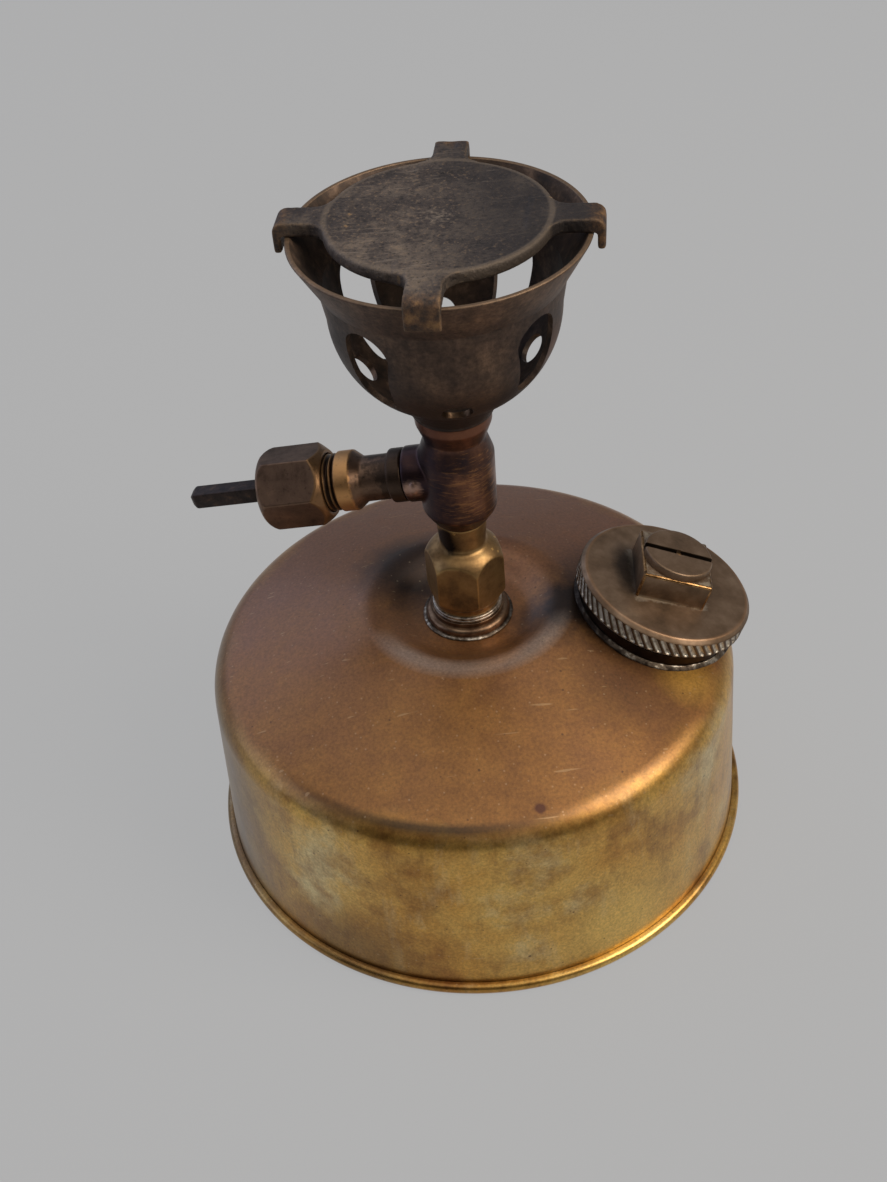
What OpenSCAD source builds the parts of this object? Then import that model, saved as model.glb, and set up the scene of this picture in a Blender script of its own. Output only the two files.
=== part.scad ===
// Petrol vaporiser stove: a round brass tank with a screwed filler cap and safety valve,
// a wick-fed riser, a tee with a needle valve in its side arm, and a pierced burner bell
// under a flame plate with four hooked lugs.
// Origin: centre of the foot ring, on the surface that the stove stands on. +Z up, valve arm towards -X.

/* [Tank] */
// Diameter over the folded seam at the foot
tank_d = 115; // [108:0.5:125]
// How far the wall leans in from the seam to the shoulder
wall_draft = 2; // [0:0.1:5]
// Height where the lines of wall and dome cross
shoulder_z = 43.2; // [36:0.1:55]
// Outer radius of the rounded shoulder
shoulder_r = 6; // [4:0.5:10]
// Slope of the dome, in degrees
dome_slope = 18; // [14:0.5:22]
// Diameter of the raised ring round the dish
crest_d = 37; // [33:0.5:42]
// Rounding of the raised ring
crest_r = 6; // [3:0.5:7]
// Depth of the dish below the lines of its ring
dish_depth = 3.4; // [3:0.1:5]
// Diameter of the flat floor of the dish
dish_floor_d = 25; // [23:0.5:28]
// Rounding between the dish's side and floor
dish_r = 3; // [1:0.5:3]
// Thickness of the tank's sheet brass
sheet_t = 0.8; // [0.6:0.05:1]
// Width of the flat ring that the tank stands on
foot_ring_w = 6; // [4:0.5:9]
// Height of the step inside the foot ring
base_step_h = 2.6; // [1.5:0.1:4]
// Rise of the base's panel from its edge to its middle
base_rise = 2.6; // [1.5:0.1:5]

/* [Burner bush] */
// Diameter of the bush's flange on the dish floor
bush_flange_d = 17; // [15.5:0.1:19]
// Thickness of the bush's flange
bush_flange_h = 2; // [1.2:0.1:3]
// Diameter of the step above the flange
bush_step_d = 14.6; // [14:0.1:15.2]
// Height of the step above the flange
bush_step_h = 0.9; // [0.6:0.1:2]
// Diameter of the spigot through the tank
bush_spigot_d = 14; // [13:0.1:15]
// Length of the spigot below the dish floor
bush_spigot_l = 7; // [4:0.5:12]
// Diameter of the thread that holds the riser
bush_thread_d = 10.8; // [9:0.1:11.5]
// Thickness of the sealing washer
washer_t = 1.3; // [0.6:0.1:2]
// Outer diameter of the sealing washer
washer_d = 14; // [13.4:0.1:14.4]

/* [Riser] */
// Diameter of the collar under the hexagon
riser_collar_d = 13.2; // [12:0.1:13.8]
// Height of the collar under the hexagon
riser_collar_h = 1.5; // [1:0.1:4]
// Hexagon of riser and packing nut, across flats
hex_af = 14; // [13.9:0.1:16]
// Height of the riser's hexagon with its round shoulder
riser_hex_h = 13.3; // [10:0.1:18]
// Rounding of the shoulder above the hexagon
riser_round_r = 5.2; // [3:0.1:5.4]
// Turn of the riser's hexagon, in degrees
riser_hex_turn = -17; // [-30:1:30]
// Length of bare tube between shoulder and tee
riser_tube_l = 6.1; // [3:0.1:15]
// Tube diameter at the shoulder
riser_tube_d = 9; // [8:0.1:9.6]
// Tube diameter at the tee
riser_tube_top_d = 10; // [9.4:0.1:10.2]
// Bore of the riser, filled by the wick
riser_bore_d = 6; // [4:0.1:6.6]
// Diameter of the tube's end in the tee
riser_socket_d = 8.4; // [7.6:0.1:9]
// Depth of the tube's end in the tee
riser_socket_l = 4; // [2.5:0.1:5]

/* [Tee] */
// Diameter of the tee's barrel
tee_d = 14.4; // [13.4:0.1:18]
// Diameter of the tee's lower edge
tee_foot_d = 10.3; // [10:0.1:12]
// Height of the lower taper
tee_foot_h = 3.4; // [2:0.1:5]
// Height of the straight barrel
tee_barrel_h = 12.1; // [11.6:0.1:20]
// Height of the upper taper
tee_top_h = 4.2; // [3:0.1:6]
// Diameter of the waist under the bell
tee_waist_d = 11.7; // [11:0.1:13]
// Height of the flare from the waist to the ring under the bell
tee_flare_h = 3.5; // [2.5:0.1:6]
// Diameter of the ring under the bell
tee_seat_d = 14.3; // [13:0.1:15]
// Height of the ring under the bell
tee_ring_h = 2.2; // [1:0.1:4]
// Diameter of the threaded spigot inside the bell
tee_spigot_d = 9.8; // [9.4:0.1:10.6]
// Height of the threaded spigot inside the bell
tee_spigot_h = 3.6; // [2.5:0.1:3.8]
// Rounding of the tee's tapers
tee_edge_r = 1.5; // [0.5:0.1:2]
// Height of the arm's axis above the tee's lower edge
arm_rise = 11.5; // [11:0.1:13]
// Diameter of the side boss that carries the arm
boss_d = 10.8; // [10.6:0.1:12]
// Distance of the side boss's face from the tee's axis
boss_reach = 9.9; // [9:0.1:13]

/* [Valve arm] */
// Turn of the arm from -X towards +Y, in degrees
arm_back = 13; // [0:1:25]
// Fall of the arm towards its outer end, in degrees
arm_fall = 10; // [0:1:12]
// Collar against the tee: diameter
arm_collar_d = 10.4; // [10:0.1:10.6]
// Collar against the tee: length
arm_collar_l = 2.9; // [1.5:0.1:4]
// Spigot in the tee: diameter
arm_spigot_d = 8.4; // [7.8:0.1:9]
// Spigot in the tee: length
arm_spigot_l = 2.5; // [1.5:0.1:3]
// Slim tube: diameter
arm_tube_d = 8.8; // [8.4:0.1:9.6]
// Slim tube: length
arm_tube_l = 5.3; // [3:0.1:10]
// Cone from tube to shoulder: length
arm_cone_l = 1.9; // [1:0.1:4]
// Shoulder: diameter
arm_shoulder_d = 11.7; // [11.4:0.1:12.6]
// Shoulder: length
arm_shoulder_l = 3.2; // [2:0.1:5]
// Threaded end: outer diameter
arm_thread_d = 11.1; // [10.4:0.1:11.2]
// Threaded end: length
arm_thread_l = 10; // [8:0.1:12]
// Rounding of the arm's edges
arm_edge_r = 0.5; // [0.2:0.1:0.6]
// Bore for the spindle's thread
arm_bore_d = 6; // [5.8:0.1:6.4]
// Stuffing box: diameter
box_d = 8.4; // [8:0.1:8.8]
// Stuffing box: depth
box_l = 7; // [6:0.1:8]
// Packing: length
packing_l = 4.4; // [3:0.1:5]

/* [Packing nut] */
// Bare thread left between shoulder and nut
thread_show = 2; // [0.5:0.1:3]
// Length of the nut
nut_l = 15.3; // [13:0.1:18]
// Thickness of the nut's end wall
nut_end_t = 5.5; // [4:0.1:6]
// Diameter of the nut's inner face
nut_face_d = 12.9; // [12.6:0.1:13.6]
// Length of the chamfer at the nut's inner face
nut_chamfer_l = 2.1; // [1:0.1:3]
// Radius of the nut's rounded outer end
nut_round_r = 5.2; // [3:0.1:5.5]
// Turn of the nut's hexagon, in degrees
nut_turn = -18; // [-30:1:30]

/* [Spindle] */
// Side of the square for the key
square_side = 3.3; // [3:0.1:3.5]
// Length of the square beyond the nut
square_l = 13.6; // [6:0.1:20]
// Diameter of the round shank
shank_d = 5; // [5:0.1:5.6]
// Outer angle of the needle's point, in degrees
needle_angle = 90; // [60:5:100]
// Small end of the needle's seat, diameter
seat_hole_d = 2; // [1.5:0.1:2.2]
// Diameter of the way from the seat up to the jet
gas_way_d = 2.4; // [2.2:0.1:3]
// Length of the spindle's thread
spindle_thread_l = 10; // [6:0.1:10.5]
// Travel of the spindle from shut to open
spindle_travel = 2; // [1:0.1:2.5]

/* [Burner bell] */
// Diameter of the bell's rim
rim_d = 52; // [49:0.1:56]
// Height of the rim above the bell's seat
bell_h = 36.4; // [34:0.1:41]
// Diameter of the bowl at its widest
bowl_d = 41; // [39:0.1:43]
// Height of the bowl's centre above the bell's seat
bowl_centre_h = 22.4; // [22:0.1:24]
// Angle below level where the bowl's round part starts, in degrees
bowl_foot_angle = 58; // [52:1:62]
// Diameter at the crease under the flare
crease_d = 42.8; // [42:0.1:45]
// Height of the crease above the bell's seat
crease_h = 28.1; // [26:0.1:30]
// Wall of the bell
bell_t = 1; // [0.8:0.1:1.4]
// Diameter of the sleeve on the tee's seat
sleeve_d = 15.2; // [15.2:0.1:17]
// Height of the sleeve
sleeve_h = 0.6; // [0.4:0.1:2.4]
// Width of the large air holes at their round top
air_hole_w = 9.2; // [7:0.1:10]
// Width of the large air holes at their narrow end
air_hole_tip_w = 6; // [3:0.1:6.8]
// Height of the large air holes
air_hole_h = 19; // [14:0.1:19.4]
// Height of their middle above the bell's seat
air_hole_z = 17.2; // [17:0.1:17.4]
// Number of large air holes
air_holes = 4; // [3:1:6]
// Diameter of the small holes lower down
low_hole_d = 5.4; // [3:0.1:6]
// Slope of the small holes' axes below level, in degrees
low_hole_slope = 37; // [30:1:40]
// Hexagon of the jet, across flats
jet_af = 7; // [6:0.1:8]
// Height of the jet's hexagon
jet_hex_h = 3; // [2:0.1:5]
// Diameter of the jet's thread
jet_thread_d = 4; // [3.4:0.1:4.6]
// Diameter of the jet's fine hole
jet_hole_d = 0.5; // [0.3:0.05:0.8]

/* [Flame plate] */
// Diameter of the disc
plate_d = 38.8; // [34:0.1:42]
// Thickness of disc and arms
plate_t = 2.6; // [2:0.1:4]
// Depth of the shallow hollow in the disc's top
plate_hollow = 0.7; // [0.2:0.1:1.2]
// Number of arms
lugs = 4; // [3:1:6]
// Width of the arms
lug_w = 6; // [4:0.1:9]
// Thickness of the hooks outside the rim
hook_t = 1.4; // [1.2:0.1:3]
// Reach of the hooks below the rim's top
hook_drop = 3; // [2:0.1:6]
// Rounding of the hooks' outer bend
hook_bend_r = 2; // [1:0.1:3]
// Rounding of the hooks' edges
hook_edge_r = 0.4; // [0.2:0.1:0.6]
// Turn of the plate on the rim, in degrees
plate_turn = -10.5; // [-45:0.5:45]

/* [Filler] */
// Distance of the filler's axis inside the tank's shoulder
filler_inset = 15.8; // [14:0.1:18]
// Direction of the filler round the tank, in degrees from +X
filler_az = -3; // [-30:1:30]
// Diameter of the neck's flange
neck_flange_d = 32.6; // [31:0.1:35]
// Rise of the neck's flange above the dome
neck_rise = 2.1; // [1.2:0.1:3]
// Diameter of the neck inside the tank
neck_d = 25; // [24:0.1:27]
// Length of the neck below the dome
neck_l = 9; // [6:0.1:10]
// Thread between cap and neck
cap_thread_d = 21; // [18:0.1:22]
// Thickness of the cap's gasket
gasket_t = 1; // [0.6:0.1:2]
// Outer diameter of the cap's gasket
gasket_d = 31; // [28:0.1:33]

/* [Filler cap] */
// Diameter over the knurled rim
cap_d = 35.8; // [33:0.1:38]
// Height of the rim
cap_rim_h = 4.5; // [3.5:0.1:7]
// Depth of the knurl's slanted grooves
knurl_depth = 0.45; // [0.2:0.05:0.6]
// Number of grooves in the knurl
knurl_count = 72; // [36:1:80]
// Slant of the grooves, in degrees
knurl_slant = 24; // [10:1:35]
// Side of the square boss for a spanner
boss_side = 14.2; // [13.4:0.1:16]
// Height of the square boss
boss_h = 5.8; // [4:0.1:8]
// Turn of the square boss, in degrees
boss_turn = -4.5; // [-45:0.5:45]
// Length of the cap's threaded shank
cap_shank_l = 8; // [6:0.1:10]

/* [Safety valve] */
// Diameter of the slotted head
relief_head_d = 13; // [12:0.1:13.2]
// Height of the slotted head
relief_head_h = 1.7; // [1.2:0.1:3]
// Width of the screwdriver slot
slot_w = 1.3; // [0.8:0.1:1.6]
// Turn of the screwdriver slot, in degrees
slot_turn = -7; // [-90:1:90]
// Diameter of the chamber for spring and plunger
chamber_d = 9; // [8.4:0.1:10]
// Length of the screw's thread
relief_thread_l = 6; // [4:0.1:7]
// Thickness of the chamber's floor
chamber_floor_t = 1.8; // [1.2:0.1:3]
// Hole that the valve shuts
vent_d = 4; // [3:0.1:4.4]
// Thickness of the valve's rubber
seal_t = 1.6; // [1:0.1:2]
// Thickness of the plunger's head
plunger_t = 1.6; // [1:0.1:2]
// Wire of the spring
wire_d = 0.8; // [0.6:0.05:0.9]
// Turns of the spring
spring_turns = 5; // [4:1:5]
// Lift of the valve
relief_lift = 1; // [0.5:0.1:1.5]

/* [Fits] */
// Radial clearance of running and screwed fits
run_gap = 0.08; // [0.03:0.01:0.1]
// Gap between faces that part when something moves
seat_gap = 0.03; // [0.02:0.01:0.1]
// Gap between the hooks and the rim
hook_gap = 0.3; // [0.25:0.05:0.8]

/* [Hidden] */
$fn = 96;
eps = 0.01;
brass = "#8a6a35";
dark_brass = "#5b4128";
soot = "#3a332d";
steel = "#2f2926";

// Heights, worked out from the foot upwards
seam_h = 3 * sheet_t;
seam_mid_r = tank_d / 2 - seam_h / 2;
wall_foot_d = tank_d - 4 * sheet_t;
shoulder_d = wall_foot_d - 2 * wall_draft;
filler_rho = shoulder_d / 2 - filler_inset;
crest_z = shoulder_z + (shoulder_d - crest_d) / 2 * tan(dome_slope);
dish_z = crest_z - dish_depth;
bush_top_z = dish_z + bush_flange_h + bush_step_h;
washer_top_z = bush_top_z + washer_t;
hex_z = washer_top_z + riser_collar_h;
tube_z = hex_z + riser_hex_h;
tee_z = tube_z + riser_tube_l;
barrel_z = tee_z + tee_foot_h;
barrel_top_z = barrel_z + tee_barrel_h;
waist_z = barrel_top_z + tee_top_h;
ring_z = waist_z + tee_flare_h;
bell_z = ring_z + tee_ring_h;
rim_z = bell_z + bell_h;
arm_z = tee_z + arm_rise;
// Radius of the shapes that round off the hexagons, just clear of their corners
hex_round_r = hex_af / 2 / cos(30) + 0.1;

// Stations along the arm, as distances from the tee's axis
collar_end = boss_reach + arm_collar_l;
tube_end = collar_end + arm_tube_l;
cone_end = tube_end + arm_cone_l;
shoulder_end = cone_end + arm_shoulder_l;
arm_end = shoulder_end + arm_thread_l;
nut_start = shoulder_end + thread_show;
nut_end = nut_start + nut_l;
nut_wall = nut_end - nut_end_t;
box_start = arm_end - box_l;
packing_end = box_start + packing_l;
square_end = nut_end + square_l;
seat_start = gas_way_d / 2 + 0.3;
seat_mouth = seat_start + (arm_bore_d - seat_hole_d) / 2 / tan(needle_angle / 2);
spindle_thread_start = box_start - spindle_travel - seat_gap - spindle_thread_l;

// Stations along the filler's axis, as heights above the dome
neck_top = neck_rise;
gasket_z = neck_top + seat_gap;
cap_z = gasket_z + gasket_t + seat_gap;
cap_top = cap_z + cap_rim_h;
cap_boss_top = cap_top + boss_h;
cap_end = cap_z - cap_shank_l;
chamber_floor = cap_end + chamber_floor_t;
seal_z = chamber_floor + seat_gap;
plunger_z = seal_z + seal_t;
spring_z = plunger_z + plunger_t;
relief_end = cap_boss_top - relief_thread_l;

// Outline helpers: a path of corners, each with its own radius
arc_steps = 8;
function unit(v) = v / norm(v);
function turn(a, b, c) = sign(cross(b - a, c - b));
function corner(a, b, c, r) =
  let (u = unit(a - b), v = unit(c - b), half = acos(u * v) / 2)
  let (centre = b + unit(u + v) * r / sin(half), from = b + u * r / tan(half) - centre)
  let (start = atan2(from.y, from.x), sweep = (180 - 2 * half) * turn(a, b, c))
  arc(centre, r, start, start + sweep, arc_steps);
function rounded(path, radii) = [
  for (i = [0:len(path) - 1])
    each radii[i] > 0 ? corner(path[i - 1], path[i], path[i + 1], radii[i]) : [path[i]]
];
function left(a, b) = [a.y - b.y, b.x - a.x] / norm(b - a);
function shifted(path, t) = let (last = len(path) - 1) [
  for (i = [0:last])
    let (before = left(path[max(i - 1, 0)], path[max(i - 1, 0) + 1]))
    let (after = left(path[min(i, last - 1)], path[min(i, last - 1) + 1]))
    path[i] + (before + after) * t / (1 + before * after)
];
function shifted_radii(path, radii, t) = [
  for (i = [0:len(path) - 1])
    radii[i] > 0 ? radii[i] - t * turn(path[i - 1], path[i], path[i + 1]) : 0
];
function reversed(list) = [for (i = [len(list) - 1:-1:0]) list[i]];
function sheet(path, radii, t) = concat(
  rounded(path, radii), reversed(rounded(shifted(path, t), shifted_radii(path, radii, t))));
function arc(centre, r, from, to, steps) = [
  for (i = [0:steps])
    let (angle = from + (to - from) * i / steps)
    centre + r * [cos(angle), sin(angle)]
];

// A round bar or hole along Z between two heights
module bar(d, from, to) translate([0, 0, from]) cylinder(d = d, h = to - from);
module taper(d1, d2, from, to) translate([0, 0, from]) cylinder(d1 = d1, d2 = d2, h = to - from);
module hexagon(af, from, to) translate([0, 0, from]) cylinder(r = af / 2 / cos(30), h = to - from, $fn = 6);

// Frames of the valve arm and of the filler: +Z is out along each axis
module along_arm()
  rotate([0, 0, -arm_back]) translate([0, 0, arm_z]) rotate([0, -90 - arm_fall, 0]) children();
module along_filler() {
  dome_z = shoulder_z + (shoulder_d / 2 - filler_rho) * tan(dome_slope);
  rotate([0, 0, filler_az]) translate([filler_rho, 0, dome_z]) rotate([0, dome_slope, 0]) children();
}

// Drawn tank shell: flat lip in the seam, tapered wall, round shoulder, dome and dish
module tank_shell() {
  lip_z = 2 * sheet_t;
  path = [[tank_d / 2 - sheet_t, lip_z], [wall_foot_d / 2, lip_z], [shoulder_d / 2, shoulder_z],
    [crest_d / 2, crest_z], [dish_floor_d / 2, dish_z], [bush_spigot_d / 2, dish_z]];
  radii = [0, 0, shoulder_r, crest_r, dish_r, 0];
  color(brass) difference() {
    rotate_extrude() polygon(sheet(path, radii, sheet_t));
    along_filler() bar(neck_d, -neck_l, neck_rise);
  }
}

// Pressed base: hem folded over the shell's lip, flat foot ring, dished panel
module tank_base() {
  ring_r = tank_d / 2 - seam_h / 2 - foot_ring_w;
  panel_r = ring_r - base_step_h;
  dome_r = (panel_r * panel_r + base_rise * base_rise) / 2 / base_rise;
  dome_centre = [0, base_step_h + base_rise - dome_r];
  edge_angle = acos(panel_r / dome_r);
  under = concat([[ring_r, 0]], arc(dome_centre, dome_r, edge_angle, 90, 6));
  over = [for (p = reversed(under)) p + [0, sheet_t]];
  lip_r = tank_d / 2 - sheet_t;
  hem_r = wall_foot_d / 2 + run_gap;
  hem = [[lip_r, sheet_t], [lip_r, 2 * sheet_t], [hem_r, 2 * sheet_t], [hem_r, seam_h]];
  bead = arc([seam_mid_r, seam_h / 2], seam_h / 2, 90, -90, 8);
  color(brass) rotate_extrude() polygon(concat(under, over, hem, bead));
}

// Bush soldered into the dish, with a round-edged flange and the thread for the riser
module burner_bush() {
  flange_r = bush_flange_d / 2;
  step_r = bush_step_d / 2;
  spigot_r = bush_spigot_d / 2;
  thread_r = bush_thread_d / 2;
  flange_z = dish_z + bush_flange_h;
  spigot_z = dish_z - bush_spigot_l;
  path = [[thread_r, spigot_z], [spigot_r, spigot_z], [spigot_r, dish_z], [flange_r, dish_z],
    [flange_r, flange_z], [step_r, flange_z], [step_r, bush_top_z], [thread_r, bush_top_z]];
  color(brass) rotate_extrude() polygon(rounded(path, [0, 0, 0, 0, flange_r - step_r - eps, 0, 0, 0]));
}

// Soft metal washer between bush and riser
module bush_washer() color("silver") difference() {
  bar(washer_d, bush_top_z, washer_top_z);
  bar(bush_thread_d, bush_top_z - 1, washer_top_z + 1);
}

// Riser: threaded shank, collar, hexagon with a round shoulder, and tube
module riser() {
  shank_z = dish_z - bush_spigot_l;
  tube_r = riser_tube_d / 2;
  chamfer = hex_round_r - riser_collar_d / 2;
  slope_h = (hex_round_r - tube_r) / 2;
  head_path = [[0, hex_z], [riser_collar_d / 2, hex_z], [hex_round_r, hex_z + chamfer],
    [hex_round_r, tube_z - slope_h], [tube_r, tube_z], [0, tube_z]];
  color(brass) difference() {
    union() {
      bar(bush_thread_d - 2 * run_gap, shank_z, washer_top_z + eps);
      bar(riser_collar_d, washer_top_z, hex_z + eps);
      intersection() {
        rotate([0, 0, riser_hex_turn]) hexagon(hex_af, hex_z, tube_z);
        rotate_extrude() polygon(rounded(head_path, [0, 0, 0, riser_round_r, 0, 0]));
      }
      taper(riser_tube_d, riser_tube_top_d, tube_z - eps, tee_z);
      bar(riser_socket_d, tee_z - eps, tee_z + riser_socket_l);
    }
    bar(riser_bore_d, shank_z - 1, tee_z + riser_socket_l + 1);
  }
}

// Cotton wick: fills the riser's bore and hangs to the base's panel
module wick() color("beige")
  bar(riser_bore_d, base_step_h + base_rise + sheet_t, tee_z + riser_socket_l / 2);

// Tee: riser socket below, valve seat in the middle, bell seat and jet socket above
module vaporizer_tee() {
  spigot_top = bell_z + tee_spigot_h;
  lower_hole_x = (seat_mouth + boss_reach - arm_spigot_l) / 2;
  path = [[0, tee_z], [tee_foot_d / 2, tee_z], [tee_d / 2, barrel_z], [tee_d / 2, barrel_top_z],
    [tee_waist_d / 2, waist_z], [tee_seat_d / 2, ring_z], [tee_seat_d / 2, bell_z], [0, bell_z]];
  radii = [0, 0, tee_edge_r, tee_edge_r, tee_edge_r, 0, 0, 0];
  color(dark_brass) difference() {
    union() {
      rotate_extrude() polygon(rounded(path, radii));
      bar(tee_spigot_d, bell_z - eps, spigot_top);
      along_arm() bar(boss_d, 0, boss_reach);
    }
    bar(riser_socket_d, tee_z - 1, tee_z + riser_socket_l);
    bar(jet_thread_d, ring_z, spigot_top + 1);
    bar(gas_way_d, arm_z - gas_way_d / 2, bell_z);
    rotate([0, 0, -arm_back]) translate([-lower_hole_x, 0, 0]) bar(seat_hole_d, tee_z + 1, arm_z);
    along_arm() {
      bar(seat_hole_d, 0, seat_start + eps);
      taper(seat_hole_d, arm_bore_d, seat_start, seat_mouth);
      bar(arm_bore_d, seat_mouth - eps, boss_reach);
      bar(arm_spigot_d, boss_reach - arm_spigot_l, boss_reach + 1);
    }
  }
}

// Valve arm: turned tube with collar, shoulder, threaded end and stuffing box
module valve_arm() {
  half_tube = arm_tube_d / 2;
  half_shoulder = arm_shoulder_d / 2;
  half_thread = arm_thread_d / 2;
  path = [[0, boss_reach], [arm_collar_d / 2, boss_reach], [arm_collar_d / 2, collar_end],
    [half_tube, collar_end], [half_tube, tube_end], [half_shoulder, cone_end],
    [half_shoulder, shoulder_end - half_shoulder + half_thread], [half_thread, shoulder_end],
    [half_thread, arm_end], [0, arm_end]];
  radii = [0, arm_edge_r, arm_edge_r, 0, 2 * arm_edge_r, arm_edge_r, 0, 0, arm_edge_r, 0];
  color(dark_brass) along_arm() difference() {
    union() {
      rotate_extrude() polygon(rounded(path, radii));
      bar(arm_spigot_d, boss_reach - arm_spigot_l, boss_reach + eps);
    }
    bar(arm_bore_d + 2 * run_gap, boss_reach - arm_spigot_l - 1, arm_end);
    bar(box_d, box_start, arm_end + 1);
  }
}

// Packing nut: hexagon with a rounded outer end, screwed over the arm
module packing_nut() {
  path = [[0, nut_start], [nut_face_d / 2, nut_start], [hex_round_r, nut_start + nut_chamfer_l],
    [hex_round_r, nut_end], [0, nut_end]];
  color(dark_brass) along_arm() difference() {
    intersection() {
      rotate([0, 0, nut_turn]) hexagon(hex_af, nut_start, nut_end);
      rotate_extrude() polygon(rounded(path, [0, 0, 0, nut_round_r, 0]));
    }
    bar(arm_thread_d + 2 * run_gap, nut_start - 1, nut_wall);
    bar(shank_d + 2 * run_gap, nut_wall - 1, nut_end + 1);
  }
}

// Gland ring: pressed by the nut against the packing, turns with the spindle
module gland_ring() color(brass) along_arm() difference() {
  union() {
    bar(box_d - 2 * run_gap, packing_end + seat_gap, nut_wall - seat_gap);
    bar(arm_thread_d - 2 * run_gap, arm_end + seat_gap, nut_wall - seat_gap);
  }
  bar(shank_d + 2 * run_gap, packing_end, nut_wall);
}

// Graphite packing in the stuffing box
module spindle_packing() color("dimgray") along_arm() difference() {
  bar(box_d, box_start, packing_end);
  bar(shank_d + 2 * run_gap, box_start - 1, packing_end + 1);
}

// Needle spindle: point, neck, thread, shank and square end
module spindle() {
  thread_end = spindle_thread_start + spindle_thread_l;
  point = seat_start + seat_gap / sin(needle_angle / 2);
  mouth = seat_mouth + seat_gap / sin(needle_angle / 2);
  color(steel) along_arm() {
    taper(seat_hole_d, arm_bore_d, point, mouth);
    bar(shank_d, mouth - (arm_bore_d - shank_d) / 2 / tan(needle_angle / 2), nut_end);
    bar(arm_bore_d, spindle_thread_start, thread_end);
    intersection() {
      translate([-square_side / 2, -square_side / 2, nut_end - eps])
        cube([square_side, square_side, square_end - nut_end + eps]);
      taper(2 * (square_side + square_l), 1.1 * square_side, nut_end - 1, square_end);
    }
  }
}

// Jet: screwed into the tee's spigot, with a fine hole on the bell's axis
module jet() {
  seat_z = bell_z + tee_spigot_h;
  tip_z = seat_z + jet_hex_h;
  color(brass) difference() {
    union() {
      bar(jet_thread_d, ring_z + tee_ring_h / 2, seat_z + eps);
      hexagon(jet_af, seat_z, tip_z);
      taper(jet_af, jet_af / 2, tip_z - eps, tip_z + jet_af / 4);
    }
    bar(seat_hole_d, ring_z, tip_z);
    bar(jet_hole_d, tip_z - 1, tip_z + jet_af);
  }
}

// Burner bell: sleeve on the tee's seat, round bowl, crease and flared rim, pierced for air
module burner_bell() {
  bowl_r = bowl_d / 2;
  centre = [0, bell_z + bowl_centre_h];
  rim_r = rim_d / 2;
  crease = [crease_d / 2, bell_z + crease_h];
  outer = concat([[sleeve_d / 2, bell_z], [sleeve_d / 2, bell_z + sleeve_h]],
    arc(centre, bowl_r, -bowl_foot_angle, 0, 12), [crease, [rim_r, rim_z]]);
  inner = concat([[rim_r - bell_t, rim_z], crease - [bell_t, 0]],
    arc(centre, bowl_r - bell_t, 0, -bowl_foot_angle, 12));
  color(soot) difference() {
    rotate_extrude() polygon(concat(outer, inner,
      [[tee_spigot_d / 2 + run_gap, bell_z + tee_spigot_h], [tee_spigot_d / 2 + run_gap, bell_z]]));
    for (i = [0:air_holes - 1]) rotate([0, 0, (i + 0.5) * 360 / air_holes]) air_hole();
    for (i = [0:air_holes - 1]) rotate([0, 0, i * 360 / air_holes])
      translate([0, 0, bell_z + bowl_centre_h]) rotate([0, 90 + low_hole_slope, 0])
        bar(low_hole_d, bowl_r - 3 * bell_t, bowl_r + bell_t);
  }
}

// Egg-shaped hole through one side of the bell, narrow end down
module air_hole() {
  top_r = air_hole_w / 2;
  tip_r = air_hole_tip_w / 2;
  apart = air_hole_h - top_r - tip_r;
  lean = asin((top_r - tip_r) / apart);
  outline = concat(
    arc([0, air_hole_h / 2 - top_r], top_r, -lean, 180 + lean, 16),
    arc([0, tip_r - air_hole_h / 2], tip_r, 180 + lean, 360 - lean, 10));
  translate([bowl_d / 5, 0, bell_z + air_hole_z]) rotate([90, 0, 90])
    linear_extrude(bowl_d) polygon(outline);
}

// Flame plate: hollowed disc with arms that lie on the rim and hook down outside it
module flame_plate() {
  under_z = rim_z + seat_gap;
  top_z = under_z + plate_t;
  hook_r = rim_d / 2 + hook_gap;
  reach = hook_r + hook_t;
  ball_r = (plate_d * plate_d / 4 + plate_hollow * plate_hollow) / 2 / plate_hollow;
  hook_path = [[plate_d / 3, under_z], [hook_r, under_z], [hook_r, rim_z - hook_drop],
    [reach, rim_z - hook_drop], [reach, top_z], [plate_d / 3, top_z]];
  hollow_angle = asin(plate_d / 2 / ball_r);
  hollow = arc([0, top_z + ball_r - plate_hollow], ball_r, hollow_angle - 90, -90, 6);
  color(soot) rotate([0, 0, plate_turn]) {
    rotate_extrude() polygon(concat([[0, under_z], [plate_d / 2, under_z]], hollow));
    for (i = [0:lugs - 1]) rotate([0, 0, i * 360 / lugs]) difference() {
      translate([0, lug_w / 2, 0]) rotate([90, 0, 0]) linear_extrude(lug_w)
        polygon(rounded(hook_path, [0, hook_edge_r, 0, hook_edge_r, hook_bend_r, 0]));
      bar(plate_d - 2, under_z - 1, top_z + 1);
    }
  }
}

// Filler neck: flange fitted to the dome, threaded neck inside the tank
module filler_neck() {
  color(brass) difference() {
    union() {
      difference() {
        along_filler() bar(neck_flange_d, -neck_flange_d / 8, neck_top);
        dome_cone();
      }
      along_filler() bar(neck_d, -neck_l, neck_top);
    }
    along_filler() bar(cap_thread_d, -neck_l - 1, neck_top + 1);
  }
}

// Solid cone under the dome's outer face
module dome_cone() {
  apex_z = shoulder_z + shoulder_d / 2 * tan(dome_slope);
  depth = shoulder_z / 2;
  translate([0, 0, apex_z - depth]) cylinder(r1 = depth / tan(dome_slope), r2 = 0, h = depth);
}

// Flat gasket, captive on the cap's shank
module cap_gasket() color("#2b2320") along_filler() difference() {
  bar(gasket_d, gasket_z, gasket_z + gasket_t);
  bar(cap_thread_d + 4 * run_gap, gasket_z - 1, gasket_z + gasket_t + 1);
}

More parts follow.
